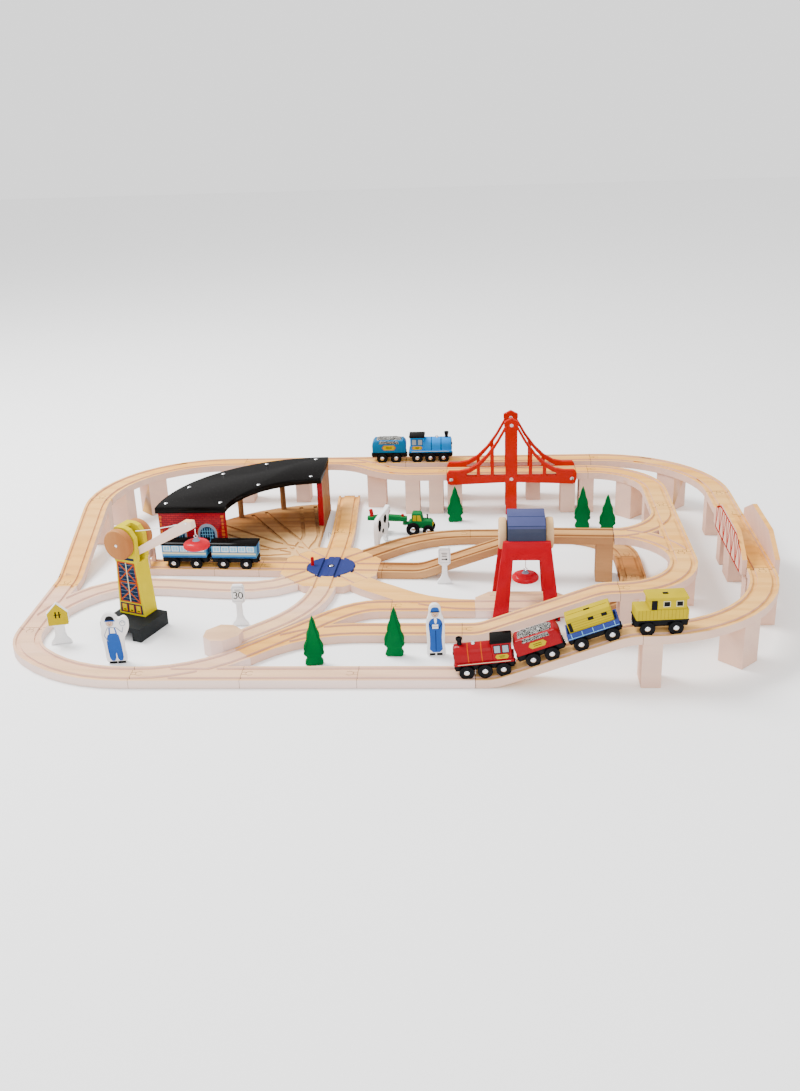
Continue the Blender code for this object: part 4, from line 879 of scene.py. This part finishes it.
item = Gather(TOWER)
tower_side(item, STAND)
tower_side(item, spin("Z", 180) @ STAND @ move(1.2, 0, 0))
for x, z in ((-12, 152), (8, 152)):
    for turn in (0, 180):
        item.add(lathe([(0.01, 14.6), (2.1, 14.6), (2.1, 15.3), (1.5, 15.7), (0.01, 15.8)], 18), STEEL,
                 spin("Z", turn) @ move(x if turn == 0 else -x, 0, z) @ spin("X", 90))
item.build("tower_print", "crane_tower")
item = Gather(TOWER @ move(-2, 0, 137.5))
knob = [(0.01, 29.0), (19.5, 29.0), (22.0, 28.2), (23.0, 26.4), (23.0, 19.4), (22.4, 17.4), (20.8, 16.4),
        (2.0, 16.4), (2.0, 14.0)]
for turn in (90, -90):
    item.add(lathe(knob, 56), KNOB, spin("X", turn))
    item.add(lathe([(0.01, 28.8), (2.3, 28.8), (2.3, 29.3), (1.6, 29.7), (0.01, 29.8)], 20), STEEL,
             spin("X", turn))
item.add(lathe([(0.01, -15), (1.9, -15), (1.9, -5.5), (4, -5.5), (4, 5.5), (1.9, 5.5), (1.9, 15), (0.01, 15)],
               24), THREAD, ACROSS)
item.build("crane_knobs", "crane_winch", "crane_winch")

# %% [markdown]
# The stay and the hoist strings cross joints. Each is a thin tube fixed in place, on no body. The stay runs
# from the tower's head to the boom's end and sags: at share s of its length it is 2 * 4 s (1 - s) mm low.

# %% Stay, strings and magnets
lift = math.radians(30)
pivot = np.array([12.0 + 4.0, 0.0, 122.0])
boom_end = pivot + (108 * math.cos(lift) - 3.4 * math.sin(lift), 0, 108 * math.sin(lift) + 3.4 * math.cos(lift))
item = Gather(TOWER)
head = np.array([13.0, 0.0, 152.0])
share = np.linspace(0, 1, 24)[:, None]
line = head + (boom_end - head) * share + np.array([0, 0, -2.0]) * 4 * share * (1 - share)
item.add(tube(line, 0.55, 8), THREAD)
stay = item.build("crane_stay", None)
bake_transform(stay)
item = Gather(TOWER)
item.add(lathe([(0.01, -5.9), (1.6, -5.9), (1.6, 5.9), (0.01, 5.9)], 18), STEEL, move(*boom_end) @ ACROSS)
item.add(lathe([(0.01, -6.2), (2.0, -6.2), (2.0, 6.2), (0.01, 6.2)], 18), STEEL, move(*pivot) @ ACROSS)
item.build("boom_pins", "crane_boom")


def magnet(name, node_name, body, place, radius):
    """A red disc with a rounded rim, a grey boss and a steel eye at its top."""
    item = Gather(place)
    r = radius
    disc = [(0.01, -8.6), (r * 0.62, -9.2), (r - 2.4, -11.2), (r - 0.6, -13.2), (r, -15.2), (r - 0.2, -17.8),
            (r - 1.6, -19.2), (r - 4.5, -19.8), (0.01, -19.9)]
    item.add(lathe(disc, 64), SCARLET)
    item.add(lathe([(r * 0.62, -19.8), (r * 0.6, -20.8), (0.01, -20.8)], 40), STEEL)
    item.add(lathe([(0.01, -4.6), (3.2, -5.0), (3.6, -6.6), (5.4, -8.6), (5.6, -9.6), (0.01, -9.6)], 30),
             PRINT_GREY)
    ring = np.column_stack([arc((0, -2.4), 2.2, 0, 350, 28), np.zeros(28)])
    item.add(tube(ring, 0.6, 8), STEEL, STAND)
    return item.build(name, body, node_name)


def cord(name, node_name):
    """A straight round cord, in short lengths, from the top to the foot of the frame's string, on no body."""
    low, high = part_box(node_name)
    x, y = (low[0] + high[0]) / 2, (low[1] + high[1]) / 2
    line = np.linspace((x * 1000, y * 1000, high[2] * 1000), (x * 1000, y * 1000, low[2] * 1000), 33)
    item = Gather()
    item.add(tube(line, 0.6, 10), THREAD)
    made = item.build(name, None, node_name)
    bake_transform(made)
    return made


cord("crane_cord", "crane_string")
cord("gantry_cord", "gantry_string")
string_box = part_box("crane_string")
magnet("crane_magnet_disc", "crane_magnet", "crane_magnet",
       move(centre("crane_string")[0], centre("crane_string")[1], string_box[0][2] * 1000 - 0.6), 18.6)

# %% [markdown]
# The gantry is two crimson frames under a blue house with a faceted roof. The big turned knobs sit
# outside the house, so its winch turns by hand; behind each, a matt black ring is painted shade for the gap
# between knob and house.

# %% Gantry crane
GANTRY = move(193.0, 0.0, 0.0)
item = Gather(GANTRY)
leg = [(-50, 0), (-27, 0), (-20, 98), (20, 98), (27, 0), (50, 0), (34, 126), (-34, 126)]
for y in (-176.0, -94.0):
    item.add(board(leg, -8, 0, 0.7), CRIMSON, move(0, y, 0) @ STAND)
for y in (-176.25, -85.95):
    for x in (-44.5, 44.5):
        item.add(board(oblong(3.6, 3.6), -0.1, 0.2, 0), MATT, move(x, y, 3.6) @ STAND)
near, far = -171.0, -91.0
# The walls take the darker copy of the house's blue as painted shade, and the roof takes the lighter copy as
# painted light.
house = [(near, 104), (far, 104), (far, 136), (far - 4, 143.4), (near + 4, 143.4), (near, 136)]
item.add(board(house, -27, 27, 0.4), HOUSE_SIDES_SHADED, ALONG)
top = [(near + 3.9, 143), (far - 3.9, 143), (far - 6, 147), (far - 24, 155), (near + 24, 155), (near + 6, 147)]
item.add(board(top, -27.1, 27.1, 0.3), HOUSE_TOP_LIT, ALONG)
for y, z in (((near + 24), 155.0), ((near + 6), 147.0)):
    item.add(brick((-27, y - 0.35, z - 0.4), (27, y + 0.35, z + 0.15), 0.1), NAVY)
# Painted shade: a matt black ring on each side stands for the dark gap between knob and house.
for side in (-1, 1):
    item.add(lathe([(7, 26.4), (17.5, 26.4), (17.5, 28.0), (7, 28.0)], 40), MATT,
             move(0, -131, 123) @ spin("Y", 90 * side))
item.add(brick((-20.4, -168, 97.6), (20.4, -94, 104.4), 0.4), CRIMSON)
item.build("gantry_body", "layout", "gantry_frame")
item = Gather(move(193.0, -131.0, 123.0))
knob = [(0.01, 40.0), (20.4, 40.0), (22.6, 39.2), (23.5, 37.4), (23.5, 30.8), (22.6, 29.0), (20.4, 28.3),
        (3.0, 28.3), (3.0, 20)]
for turn in (90, -90):
    item.add(lathe(knob, 56), KNOB_PALE, spin("Y", turn))
    item.add(lathe([(0.01, 39.8), (2.3, 39.8), (2.3, 40.3), (1.6, 40.7), (0.01, 40.8)], 20), STEEL,
             spin("Y", turn))
item.add(lathe([(0.01, -20), (2.8, -20), (2.8, -12), (6, -12), (6, 12), (2.8, 12), (2.8, 20), (0.01, 20)], 28),
         THREAD, spin("Y", 90))
item.build("gantry_knobs", "gantry_winch", "gantry_winch")
magnet("gantry_magnet_disc", "gantry_magnet", "gantry_magnet", move(193.0, -131.0, 66.4 + 1.0), 20.0)
print("cranes made")

# %% [markdown]
# The turntable disc is a height field on rings and spokes: its height drops by the groove depth where
# the two rails cross it, and its rim is scalloped by a cosine of the angle.

# %% Turntable
TABLE = node_place((-116.0, 4.5, 0.0), -3.0)


def turntable_disc(rings=64, spokes=300):
    """z = top - depth where |y| is near 13; radius = 39.4 minus eight round notches."""
    angle = np.linspace(0, 2 * math.pi, spokes, endpoint=False)
    edge = 39.3 - 2.0 * np.clip(np.cos(angle * 8) - 0.78, 0, 1) / 0.22
    share = np.linspace(0.02, 1.0, rings)[:, None]
    x, y = share * edge * np.cos(angle), share * edge * np.sin(angle)
    rail = np.clip((3.4 - np.abs(np.abs(x) - 13.0)) / 0.5, 0, 1)
    rim = np.clip((share - 0.965) / 0.035, 0, 1)**2
    top = 12.6 - 3.2 * rail - 0.8 * rim
    spoke = 0.5 * np.clip(1 - np.abs(x) / 1.2, 0, 1) * np.clip((np.abs(y) - 8) / 2, 0, 1)
    upper = np.stack([x, y, top - spoke], -1)
    low = np.stack([x[-1:], y[-1:], np.full((1, spokes), 4.4)], -1)
    points = np.concatenate([upper, low]).reshape(-1, 3)
    last = spokes * rings
    return points, grid_faces(rings + 1, spokes) + [list(range(spokes))[::-1], list(range(last, last + spokes))]


item = Gather(TABLE)
item.add(turntable_disc(), DISC_BLUE)
item.add(lathe([(0.01, 12.0), (3.6, 12.0), (3.6, 13.0), (2.8, 13.6), (1.2, 13.7), (0.9, 13.1), (0.01, 13.1)],
               28), STEEL)
item.add(lathe([(3.9, 12.2), (5.6, 12.2), (5.4, 13.1), (4.1, 13.1)], 28), SATIN)
item.add(lathe([(0.01, 8), (2.7, 8), (2.7, 25.4), (2.1, 26.6), (0.01, 26.8)], 24), PEG_RED, move(-31, 2, 0))
item.build("turntable_top", "turntable", "turntable_disc")

# %% [markdown]
# The roundhouse wall is printed brick. The print is a plate whose finish is Blender's Brick texture,
# with two arched windows, lighter stone arches over them, and orange corner stones.

# %% Roundhouse
def brick_finish(name, turn):
    """Brick courses 3 mm high with dark joints; turn lays the courses on an upright face."""
    made = paint(name, (0.5, 0.03, 0.03), 0.4, 0.2)
    tree = made.node_tree
    place = node(tree, "ShaderNodeMapping",
                 {"Vector": node(tree, "ShaderNodeTexCoord").outputs["Object"], "Rotation": turn})
    courses = node(tree, "ShaderNodeTexBrick", {"Vector": place.outputs[0], "Color1": (0.36, 0.006, 0.012, 1),
                                                "Color2": (0.25, 0.005, 0.012, 1),
                                                "Mortar": (0.05, 0.006, 0.014, 1),
                                                "Scale": 100.0, "Mortar Size": 0.035, "Brick Width": 0.75,
                                                "Row Height": 0.36})
    tree.links.new(courses.outputs["Color"], tree.nodes["Principled BSDF"].inputs["Base Color"])
    return made


BRICKS = brick_finish("printed_brick", (math.radians(90), 0, 0))
HOUSE_X, HOUSE_Y = -148.6, 36.0
item = Gather(move(0, 44.4, 0))
west, east = -403.5, -294.8
item.add(board([(west, 12.2), (east, 12.2), (east, 92.0), (west, 92.0)], -0.1, 0.5, 0), BRICKS, STAND)
for middle in (-375.0, -324.0):
    arch_line = [(middle - 17, 22), (middle + 17, 22)]
    arch_line += [tuple(p) for p in arc((middle, 56), 17, 0, 180, 17)]
    glass_line = [(middle - 12.4, 24), (middle + 12.4, 24)]
    glass_line += [tuple(p) for p in arc((middle, 55), 12.4, 0, 180, 17)]
    item.add(board(arch_line, 0.4, 0.75, 0), BRICK_RED, STAND)
    item.add(board([(x * 0.93 + middle * 0.07, z) for x, z in arch_line], 0.4, 0.82, 0), PRINT_GREY, STAND)
    item.add(board(glass_line, 0.4, 0.95, 0), NAVY, STAND)
    for x in (-8, -4, 0, 4, 8):
        item.add(board(bar((middle + x, 25), (middle + x, 65), 0.7), 0.4, 1.05, 0), GLASS, STAND)
    for z in (30, 36, 42, 48, 54, 60):
        item.add(board(bar((middle - 11, z), (middle + 11, z), 0.6), 0.4, 1.08, 0), GLASS, STAND)
for x in (west + 2.4, east - 2.4):
    for z in np.arange(15, 90, 6.4):
        wide = 5.2 if int(z) % 2 else 3.6
        item.add(board(oblong(wide, 4.4), 0.4, 0.9, 0), BRICK_RED, move(x, 0, z) @ STAND)
item.add(board([(west, 12.2), (east, 12.2), (east, 14.6), (west, 14.6)], 0.4, 0.9, 0), SATIN, STAND)
item.build("brick_wall", "layout")
item = Gather()
item.add(brick((-157.4, 182.2, 12.2), (-148.4, 188.0, 92.0), 0.8), RED)
item.add(brick((-295.2, 43.9, 12.2), (-292.6, 52.4, 92.0), 0.6), RED)
item.build("red_posts", "layout")


def ring_outline(inner, outer, south, east, steps=40):
    """A quarter ring about the house's centre, cut straight at its south and east ends."""
    def run(radius):
        """Points of one arc, from the south cut to the east cut."""
        low = math.pi - math.asin((south - HOUSE_Y) / radius)
        high = math.pi / 2 + math.asin((HOUSE_X - east) / radius)
        angle = np.linspace(low, high, steps)
        return np.column_stack([HOUSE_X + radius * np.cos(angle), HOUSE_Y + radius * np.sin(angle)])
    return np.concatenate([run(outer), run(inner)[::-1]])


item = Gather()
item.add(board(ring_outline(142, 259, 41, HOUSE_X), 92.3, 103.3, 1.6), BLACK)
for radius, stall in ((246, 95), (246, 116), (246, 136), (246, 155), (246, 174), (153, 97), (153, 133),
                      (156, 170)):
    angle = math.radians(stall)
    spot = move(HOUSE_X + radius * math.cos(angle), HOUSE_Y + radius * math.sin(angle), 103.2)
    item.add(lathe([(0.01, -0.6), (3.3, -0.6), (3.3, 0.2), (2.4, 0.9), (0.7, 1.1), (0.5, 0.7), (0.01, 0.7)],
                   24), STEEL, spot)
item.build("black_roof", "layout", "roundhouse_roof")
print("house made")

# %% [markdown]
# Loose wooden figures are sawn from board: a flat outline with eased edges, painted or printed. A
# tree's half width is a bowed taper times a factor of height: a smooth step out above the narrower
# foot, a small bump and notch at the foot, and a sine wave that gives the soft tiers.

# %% Trees, signs and figures
def tree_outline(height):
    """half width = taper * (step out above the foot + bump at the foot + sine of height) + 0.3."""
    share = np.linspace(0, 1, 90)
    step = 0.60 + 0.40 / (1 + np.exp((0.215 - share) / 0.016))
    foot = 0.10 * np.exp(-((share - 0.055) / 0.045)**2) - 0.10 * np.exp(-(share / 0.012)**2)
    tiers = 0.075 * np.sin(25 * share - 1.9) * (share > 0.25)
    half = 18.6 * (1 - share)**0.84 * (step + foot + tiers) + 0.3
    right_side = np.column_stack([half, share * height])
    return np.concatenate([right_side, right_side[::-1] * (-1, 1)])


for number, (x, y, height, turn) in enumerate(((-105, -305, 73, 8), (5, -279, 73, -4), (83, 230, 65, 5),
                                               (306, 195, 75, -8), (347, 172, 68, -6)), start=1):
    item = Gather(node_place((x, y, 0.1), turn))
    item.add(board(tree_outline(height), -5.2, 5.2, 1.2), LEAF, STAND)
    item.build(f"tree_{number}", "layout")


def sign(name, x, y, height, turn, marks, finish=WHITE):
    """A sawn sign: a flared foot, a slim post and a square head with a print on both faces."""
    item = Gather(node_place((x, y, 0.1), turn))
    top = height
    outline = [(-12, 0), (12, 0), (12, 3), (7, 9), (4.4, 16), (4.0, top - 31), (9.4, top - 27), (9.6, top - 4),
               (7.0, top), (-7.0, top), (-9.6, top - 4), (-9.4, top - 27), (-4.0, top - 31), (-4.4, 16), (-7, 9), (-12, 3)]
    item.add(board(outline, -3.2, 3.2, 0.8), WHITE, STAND)
    for face in (0, 180):
        stand = spin("Z", face) @ STAND @ move(0, top - 14.5, 0)
        item.add(board(oblong(16.4, 22.4), 3.2, 3.3, 0), PRINT_GREY, stand)
        item.add(board(oblong(15.4, 21.4), 3.2, 3.36, 0), finish, stand)
        for outline in marks:
            item.add(board(outline, 3.2, 3.5, 0), SATIN, stand)
    return item.build(name, "layout")


def digit_zero(x):
    """A zero drawn as twelve short bars round an ellipse."""
    angle = np.linspace(0, 2 * math.pi, 13)
    ring = np.column_stack([x + 3.0 * np.cos(angle), 5.0 * np.sin(angle) - 1.5])
    return [bar(a, b, 1.6) for a, b in zip(ring[:-1], ring[1:])]


def digit_three(x):
    """A three drawn as two open bows."""
    bows = [arc((x, 1.1), 2.6, 150, -80, 8), arc((x, -3.9), 2.8, 80, -150, 8)]
    return [bar(a, b, 1.6) for bow in bows for a, b in zip(bow[:-1], bow[1:])]


arrow = [bar((-4.5, -5), (3, -5), 1.6), [(2, -7.4), (5.6, -5), (2, -2.6)]]
lines = [bar((-4.5, 5.4), (4.5, 5.4), 1.0), bar((-3.5, 2.6), (3.8, 2.6), 1.0),
         bar((-4.0, -0.2), (4.2, -0.2), 1.0)]
top_bars = [bar((-4.5, 7.2), (4.5, 7.2), 0.8), bar((-3, 5.2), (3, 5.2), 0.6)]
sign("number_sign", -231, -183, 66, 2, digit_three(-4.0) + digit_zero(4.0) + top_bars)
sign("arrow_sign", 70, -38, 62, 0, arrow + lines)
item = Gather(node_place((-485, -240, 0.1), 14))
outline = [(-15, 0), (15, 0), (14, 4), (9, 10), (7.4, 16), (7.0, 27), (15, 36), (15.5, 50), (0, 66),
           (-15.5, 50), (-15, 36), (-7.0, 27), (-7.4, 16), (-9, 10), (-14, 4)]
item.add(board(outline, -3.2, 3.2, 0.8), WHITE, STAND)
for face in (0, 180):
    stand = spin("Z", face) @ STAND
    item.add(board([(-14.2, 31), (14.2, 31), (14.6, 49.6), (0, 64.6), (-14.6, 49.6)], 3.2, 3.4, 0), YELLOW,
             stand)
    for x in (-2.6, 2.6):
        item.add(board(bar((x, 42), (x, 52), 2.0), 3.2, 3.6, 0), SATIN, stand)
    item.add(board(bar((-5.0, 47.0), (5.0, 47.0), 1.2), 3.2, 3.6, 0), SATIN, stand)
item.build("crossing_sign", "layout")


def blob(points, rounds=3):
    """A closed outline smoothed by cutting its corners: each side becomes its quarter points."""
    ring = np.asarray(points, float)
    for _ in range(rounds):
        after = np.roll(ring, -1, 0)
        ring = np.stack([0.75 * ring + 0.25 * after, 0.25 * ring + 0.75 * after], 1).reshape(-1, 2)
    return ring


def figure(name, x, y, turn, cut_line, prints):
    """A sawn figure: a white board cut round the drawing, with printed shapes on both faces."""
    item = Gather(node_place((x, y, 0.1), turn))
    item.add(board(blob(cut_line, 2), -3.6, 3.6, 0.9), WHITE, STAND)
    for face in (0, 180):
        flip = 1 if face == 0 else -1
        for rank, (shape, finish) in enumerate(prints):
            outline = (np.asarray(shape, float) if len(shape) < 6 else blob(shape, 1)) * (flip, 1)
            item.add(board(outline[::flip], 3.6, 3.7 + 0.05 * rank, 0), finish, spin("Z", face) @ STAND)
    return item.build(name, "layout")


def dot(x, z, radius):
    """A round print."""
    return arc((x, z), radius, 0, 342, 20)


mechanic_cut = [(-13, 0), (13, 0), (14, 8), (12, 22), (13, 38), (21, 50), (22, 66), (16, 73), (8, 68), (5, 74),
                (-3, 79), (-11, 77), (-16, 68), (-16, 56), (-18, 44), (-15, 24), (-15, 8)]
mechanic_prints = [
    ([(-9, 4), (-1, 4), (0, 20), (2, 4), (10, 4), (9, 26), (8, 36), (6, 47), (-8, 47), (-11, 36), (-11, 24)],
     PRINT_BLUE),
    (bar((-6, 46), (-5, 56), 1.8), PRINT_BLUE), (bar((4, 46), (2, 56), 1.8), PRINT_BLUE),
    (bar((-11, 1.6), (0, 1.6), 3.4), SATIN), (bar((1, 1.6), (12, 1.6), 3.4), SATIN),
    (bar((-8, 55), (-13, 44), 0.9), PRINT_GREY), (bar((-13, 44), (-9, 35), 0.9), PRINT_GREY),
    (bar((5, 55), (12, 48), 0.9), PRINT_GREY), (bar((12, 48), (14, 56), 0.9), PRINT_GREY),
    (bar((-8, 56), (5, 56), 0.9), PRINT_GREY),
    (dot(14, 62, 4.2), PRINT_GREY), (dot(14, 62, 3.3), WHITE), (dot(12.8, 63, 0.6), SATIN),
    (dot(15.4, 63, 0.6), SATIN), (dot(-3.5, 63, 5.2), PRINT_GREY), (dot(-3.5, 63, 4.6), SKIN_TONE),
    ([(-9, 66), (3, 66), (3, 69), (1, 73), (-5, 74), (-9, 71)], SATIN),
    (bar((-10, 66.4), (4, 66.4), 1.6), PRINT_BLUE),
    (dot(-5.2, 63.6, 0.6), SATIN), (dot(-1.8, 63.6, 0.6), SATIN), (bar((-5.0, 60.8), (-2.0, 60.8), 0.8), SATIN)]
figure("mechanic_figure", -385, -298, 6, mechanic_cut, mechanic_prints)
guard_cut = [(-12, 0), (13, 0), (14, 6), (12, 18), (13, 40), (12, 56), (8, 64), (8, 74), (3, 80), (-5, 80),
             (-9, 74), (-9, 64), (-13, 54), (-13, 38), (-12, 18), (-13, 6)]
guard_prints = [
    ([(-9, 6), (10, 6), (8, 24), (9, 40), (10, 52), (5, 59), (-5, 59), (-10, 52), (-9, 40), (-8, 24)],
     PRINT_BLUE),
    (bar((-9, 3), (-1, 3), 3.6), SATIN), (bar((1, 3), (9, 3), 3.6), SATIN), (bar((0, 8), (0, 40), 0.8), SATIN),
    (bar((-9, 51), (-4, 42), 0.8), SATIN), (bar((9, 51), (4, 42), 0.8), SATIN),
    (bar((-4.6, 46), (3.6, 46), 6.4), WHITE),
    (bar((-4, 46), (3, 46), 0.7), PRINT_GREY),
    ([(-2, 59), (2, 59), (1.6, 52), (0, 50), (-1.6, 52), (-2, 58)], WHITE),
    (dot(-0.5, 65, 5.0), PRINT_GREY), (dot(-0.5, 65, 4.5), SKIN_TONE),
    ([(-6, 68), (5, 68), (5.4, 72), (3, 75.5), (-4, 75.5), (-6.4, 72)], PRINT_BLUE),
    (bar((-7, 68.6), (6, 68.6), 1.6), SATIN),
    (dot(-2.2, 65.4, 0.6), SATIN), (dot(1.2, 65.4, 0.6), SATIN), (bar((-2, 62.8), (1, 62.8), 0.8), SATIN)]
figure("guard_figure", 63, -279, 4, guard_cut, guard_prints)
cow_cut = [(-30, 0), (-21, 0), (-19, 16), (-6, 18), (10, 18), (13, 0), (22, 0), (22, 26), (24, 44), (32, 46),
           (36, 56), (32, 62), (24, 60), (20, 58), (-22, 56), (-30, 50), (-32, 30)]
cow_prints = [([(-26, 34), (-17, 29), (-11, 38), (-13, 50), (-22, 53), (-27, 46)], SATIN),
              ([(3, 38), (11, 36), (15, 44), (10, 53), (3, 52), (-1, 45)], SATIN),
              ([(-8, 24), (-2, 22), (1, 27), (-2, 31), (-7, 30), (-9, 27)], SATIN),
              (bar((26, 47), (34, 50), 2.4), PEG_RED), (dot(29, 57, 1.0), SATIN)]
figure("cow_figure", -41, 125, 74, cow_cut, cow_prints)
print("figures made")

# %% [markdown]
# Every track joint shows: a fine dark line across the board and down its sides, and the round head and
# neck of the peg. They are thin tubes sunk half into the wood.

# %% Joint lines and bridge screws
def joint(item, x, y, heading, z, peg=1, length=12.0):
    """The cut across a track at (x, y), and the outline of its peg on the side given by peg."""
    place = move(x, y, z) @ spin("Z", heading)
    groove = [(19.88, -length), (19.88, 0.0), (16.3, 0.0), (16.3, -3.0), (9.7, -3.0), (9.7, 0.0), (0.0, 0.0)]
    across = [(0.0, y_, z_) for y_, z_ in groove] + [(0.0, -y_, z_) for y_, z_ in groove[-2::-1]]
    for a, b in zip(across[:-1], across[1:]):
        item.add(tube(np.linspace(a, b, 2), 0.30, 6), SEAM, place)
    if peg:
        head = np.column_stack([arc((peg * 11.0, 0.0), 5.2, 180 - peg * 90 - 127, 180 - peg * 90 - 413, 20),
                                np.zeros(20)])
        item.add(tube(head, 0.26, 6), SEAM, place)
        for side in (-1, 1):
            item.add(tube(np.array([(0, side * 2.9, 0), (peg * 6.9, side * 3.0, 0)]), 0.26, 6), SEAM, place)


ground = Gather()
for x, peg in ((-350, 1), (-198, 1), (-40, -1), (117.6, 1)):
    joint(ground, x, -353, 0, 12, peg)
for y, peg in ((-213.5, -1), (-61.5, 1)):
    joint(ground, -536.8, y, 90, 12, peg)
for x, y, heading, peg in ((365, 35, 90, 1), (365, -39, 90, -1), (260, 140, 0, 1), (110, 140, 0, -1),
                           (-8, -144, 0, 1),
                           (-232, 10.6, -3, 1), (-306, 14.5, -3, -1), (-31, 0.0, -3, 1), (-117, 150, 91, 1),
                           (99, -223, 0, 1)):
    joint(ground, x, y, heading, 12, peg)
ground.build("ground_joints", "layout")
raised = Gather()
for x, peg in ((332, 1), (180, -1), (-10, 1), (-162, -1), (-314, 1)):
    joint(raised, x, 353, 0, 76, peg)
for x, y, heading, peg in ((334, -353, 0, 1), (530, 54.2, 90, 1), (530, -157.8, 90, -1), (426, 96, 90, 1),
                           (426, -90, 90, -1),
                           (320, -223, 0, 1), (321, 287, 0, 1), (530, 163, 90, -1), (-536.8, 160, 90, 1),
                           (300.2, 287, 0, 0), (67.8, 287, 0, -1)):
    joint(raised, x, y, heading, 76, peg)
raised.build("raised_joints", "layout")

item = Gather()
screw = [(0.01, -0.4), (3.2, -0.4), (3.2, 0.2), (2.5, 0.8), (1.0, 1.0), (0.7, 0.5), (0.01, 0.5)]
for y in (258.7, 307.3):
    for turn, face in ((90, y), (-90, y + 8)):
        for x, z in ((184, 68), (184, 168), (76, 68), (292, 68)):
            item.add(lathe(screw, 24), STEEL, move(x, face, z) @ spin("X", turn))
item.build("bridge_screws", "layout")

# %% [markdown]
# The walled bridge has a printed lattice on its west wall: upright bars, a rail above and below that follow
# the wall's sloping shoulders, and crossed braces in each bay.

# %% Lattice print on the walled bridge
item = Gather()
low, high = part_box("walled_bridge")
y0, y1 = low[1] * 1000 + 9, high[1] * 1000 - 9
stations = np.linspace(y0 + 8, y1 - 8, 7)


def wall_top(y):
    """Height of the print's upper rail: level in the middle, sloping to each end."""
    return min(high[2] * 1000 - 5.5, high[2] * 1000 - 24 + 0.75 * min(y - y0, y1 - y))


wall_foot = 63.0
strips = []
for start, stop in zip(stations[:-1], stations[1:]):
    half_way = (start + stop) / 2
    strips += [((start, wall_foot), (stop, wall_foot)), ((start, wall_top(start)), (stop, wall_top(stop))),
               ((start, wall_foot), (half_way, wall_top(half_way))),
               ((half_way, wall_top(half_way)), (stop, wall_foot)),
               ((start, wall_foot), (start, wall_top(start)))]
strips.append(((stations[-1], wall_foot), (stations[-1], wall_top(stations[-1]))))
for start, stop in strips:
    item.add(board(bar(start, stop, 3.0), -0.2, 0.08, 0), ORANGE, move(low[0] * 1000, 0, 0) @ ALONG)
item.build("lattice_print", "layout")

# %% [markdown]
# A plain pale card lies just under the set. It belongs to the stage and not to the object.

# %% Floor
plane = bpy.data.meshes.new("floor")
plane.from_pydata([(-6, -6, -0.0004), (6, -6, -0.0004), (6, 6, -0.0004), (-6, 6, -0.0004)], [], [(0, 1, 2, 3)])
floor = bpy.data.objects.new("floor", plane)
scene.collection.objects.link(floor)
card = bpy.data.materials.new("white_card")
card.use_nodes = True
card.node_tree.nodes["Principled BSDF"].inputs["Base Color"].default_value = (0.93, 0.93, 0.93, 1)
card.node_tree.nodes["Principled BSDF"].inputs["Roughness"].default_value = 0.9
card.node_tree.nodes["Principled BSDF"].inputs["Specular IOR Level"].default_value = 0.1
plane.materials.append(card)
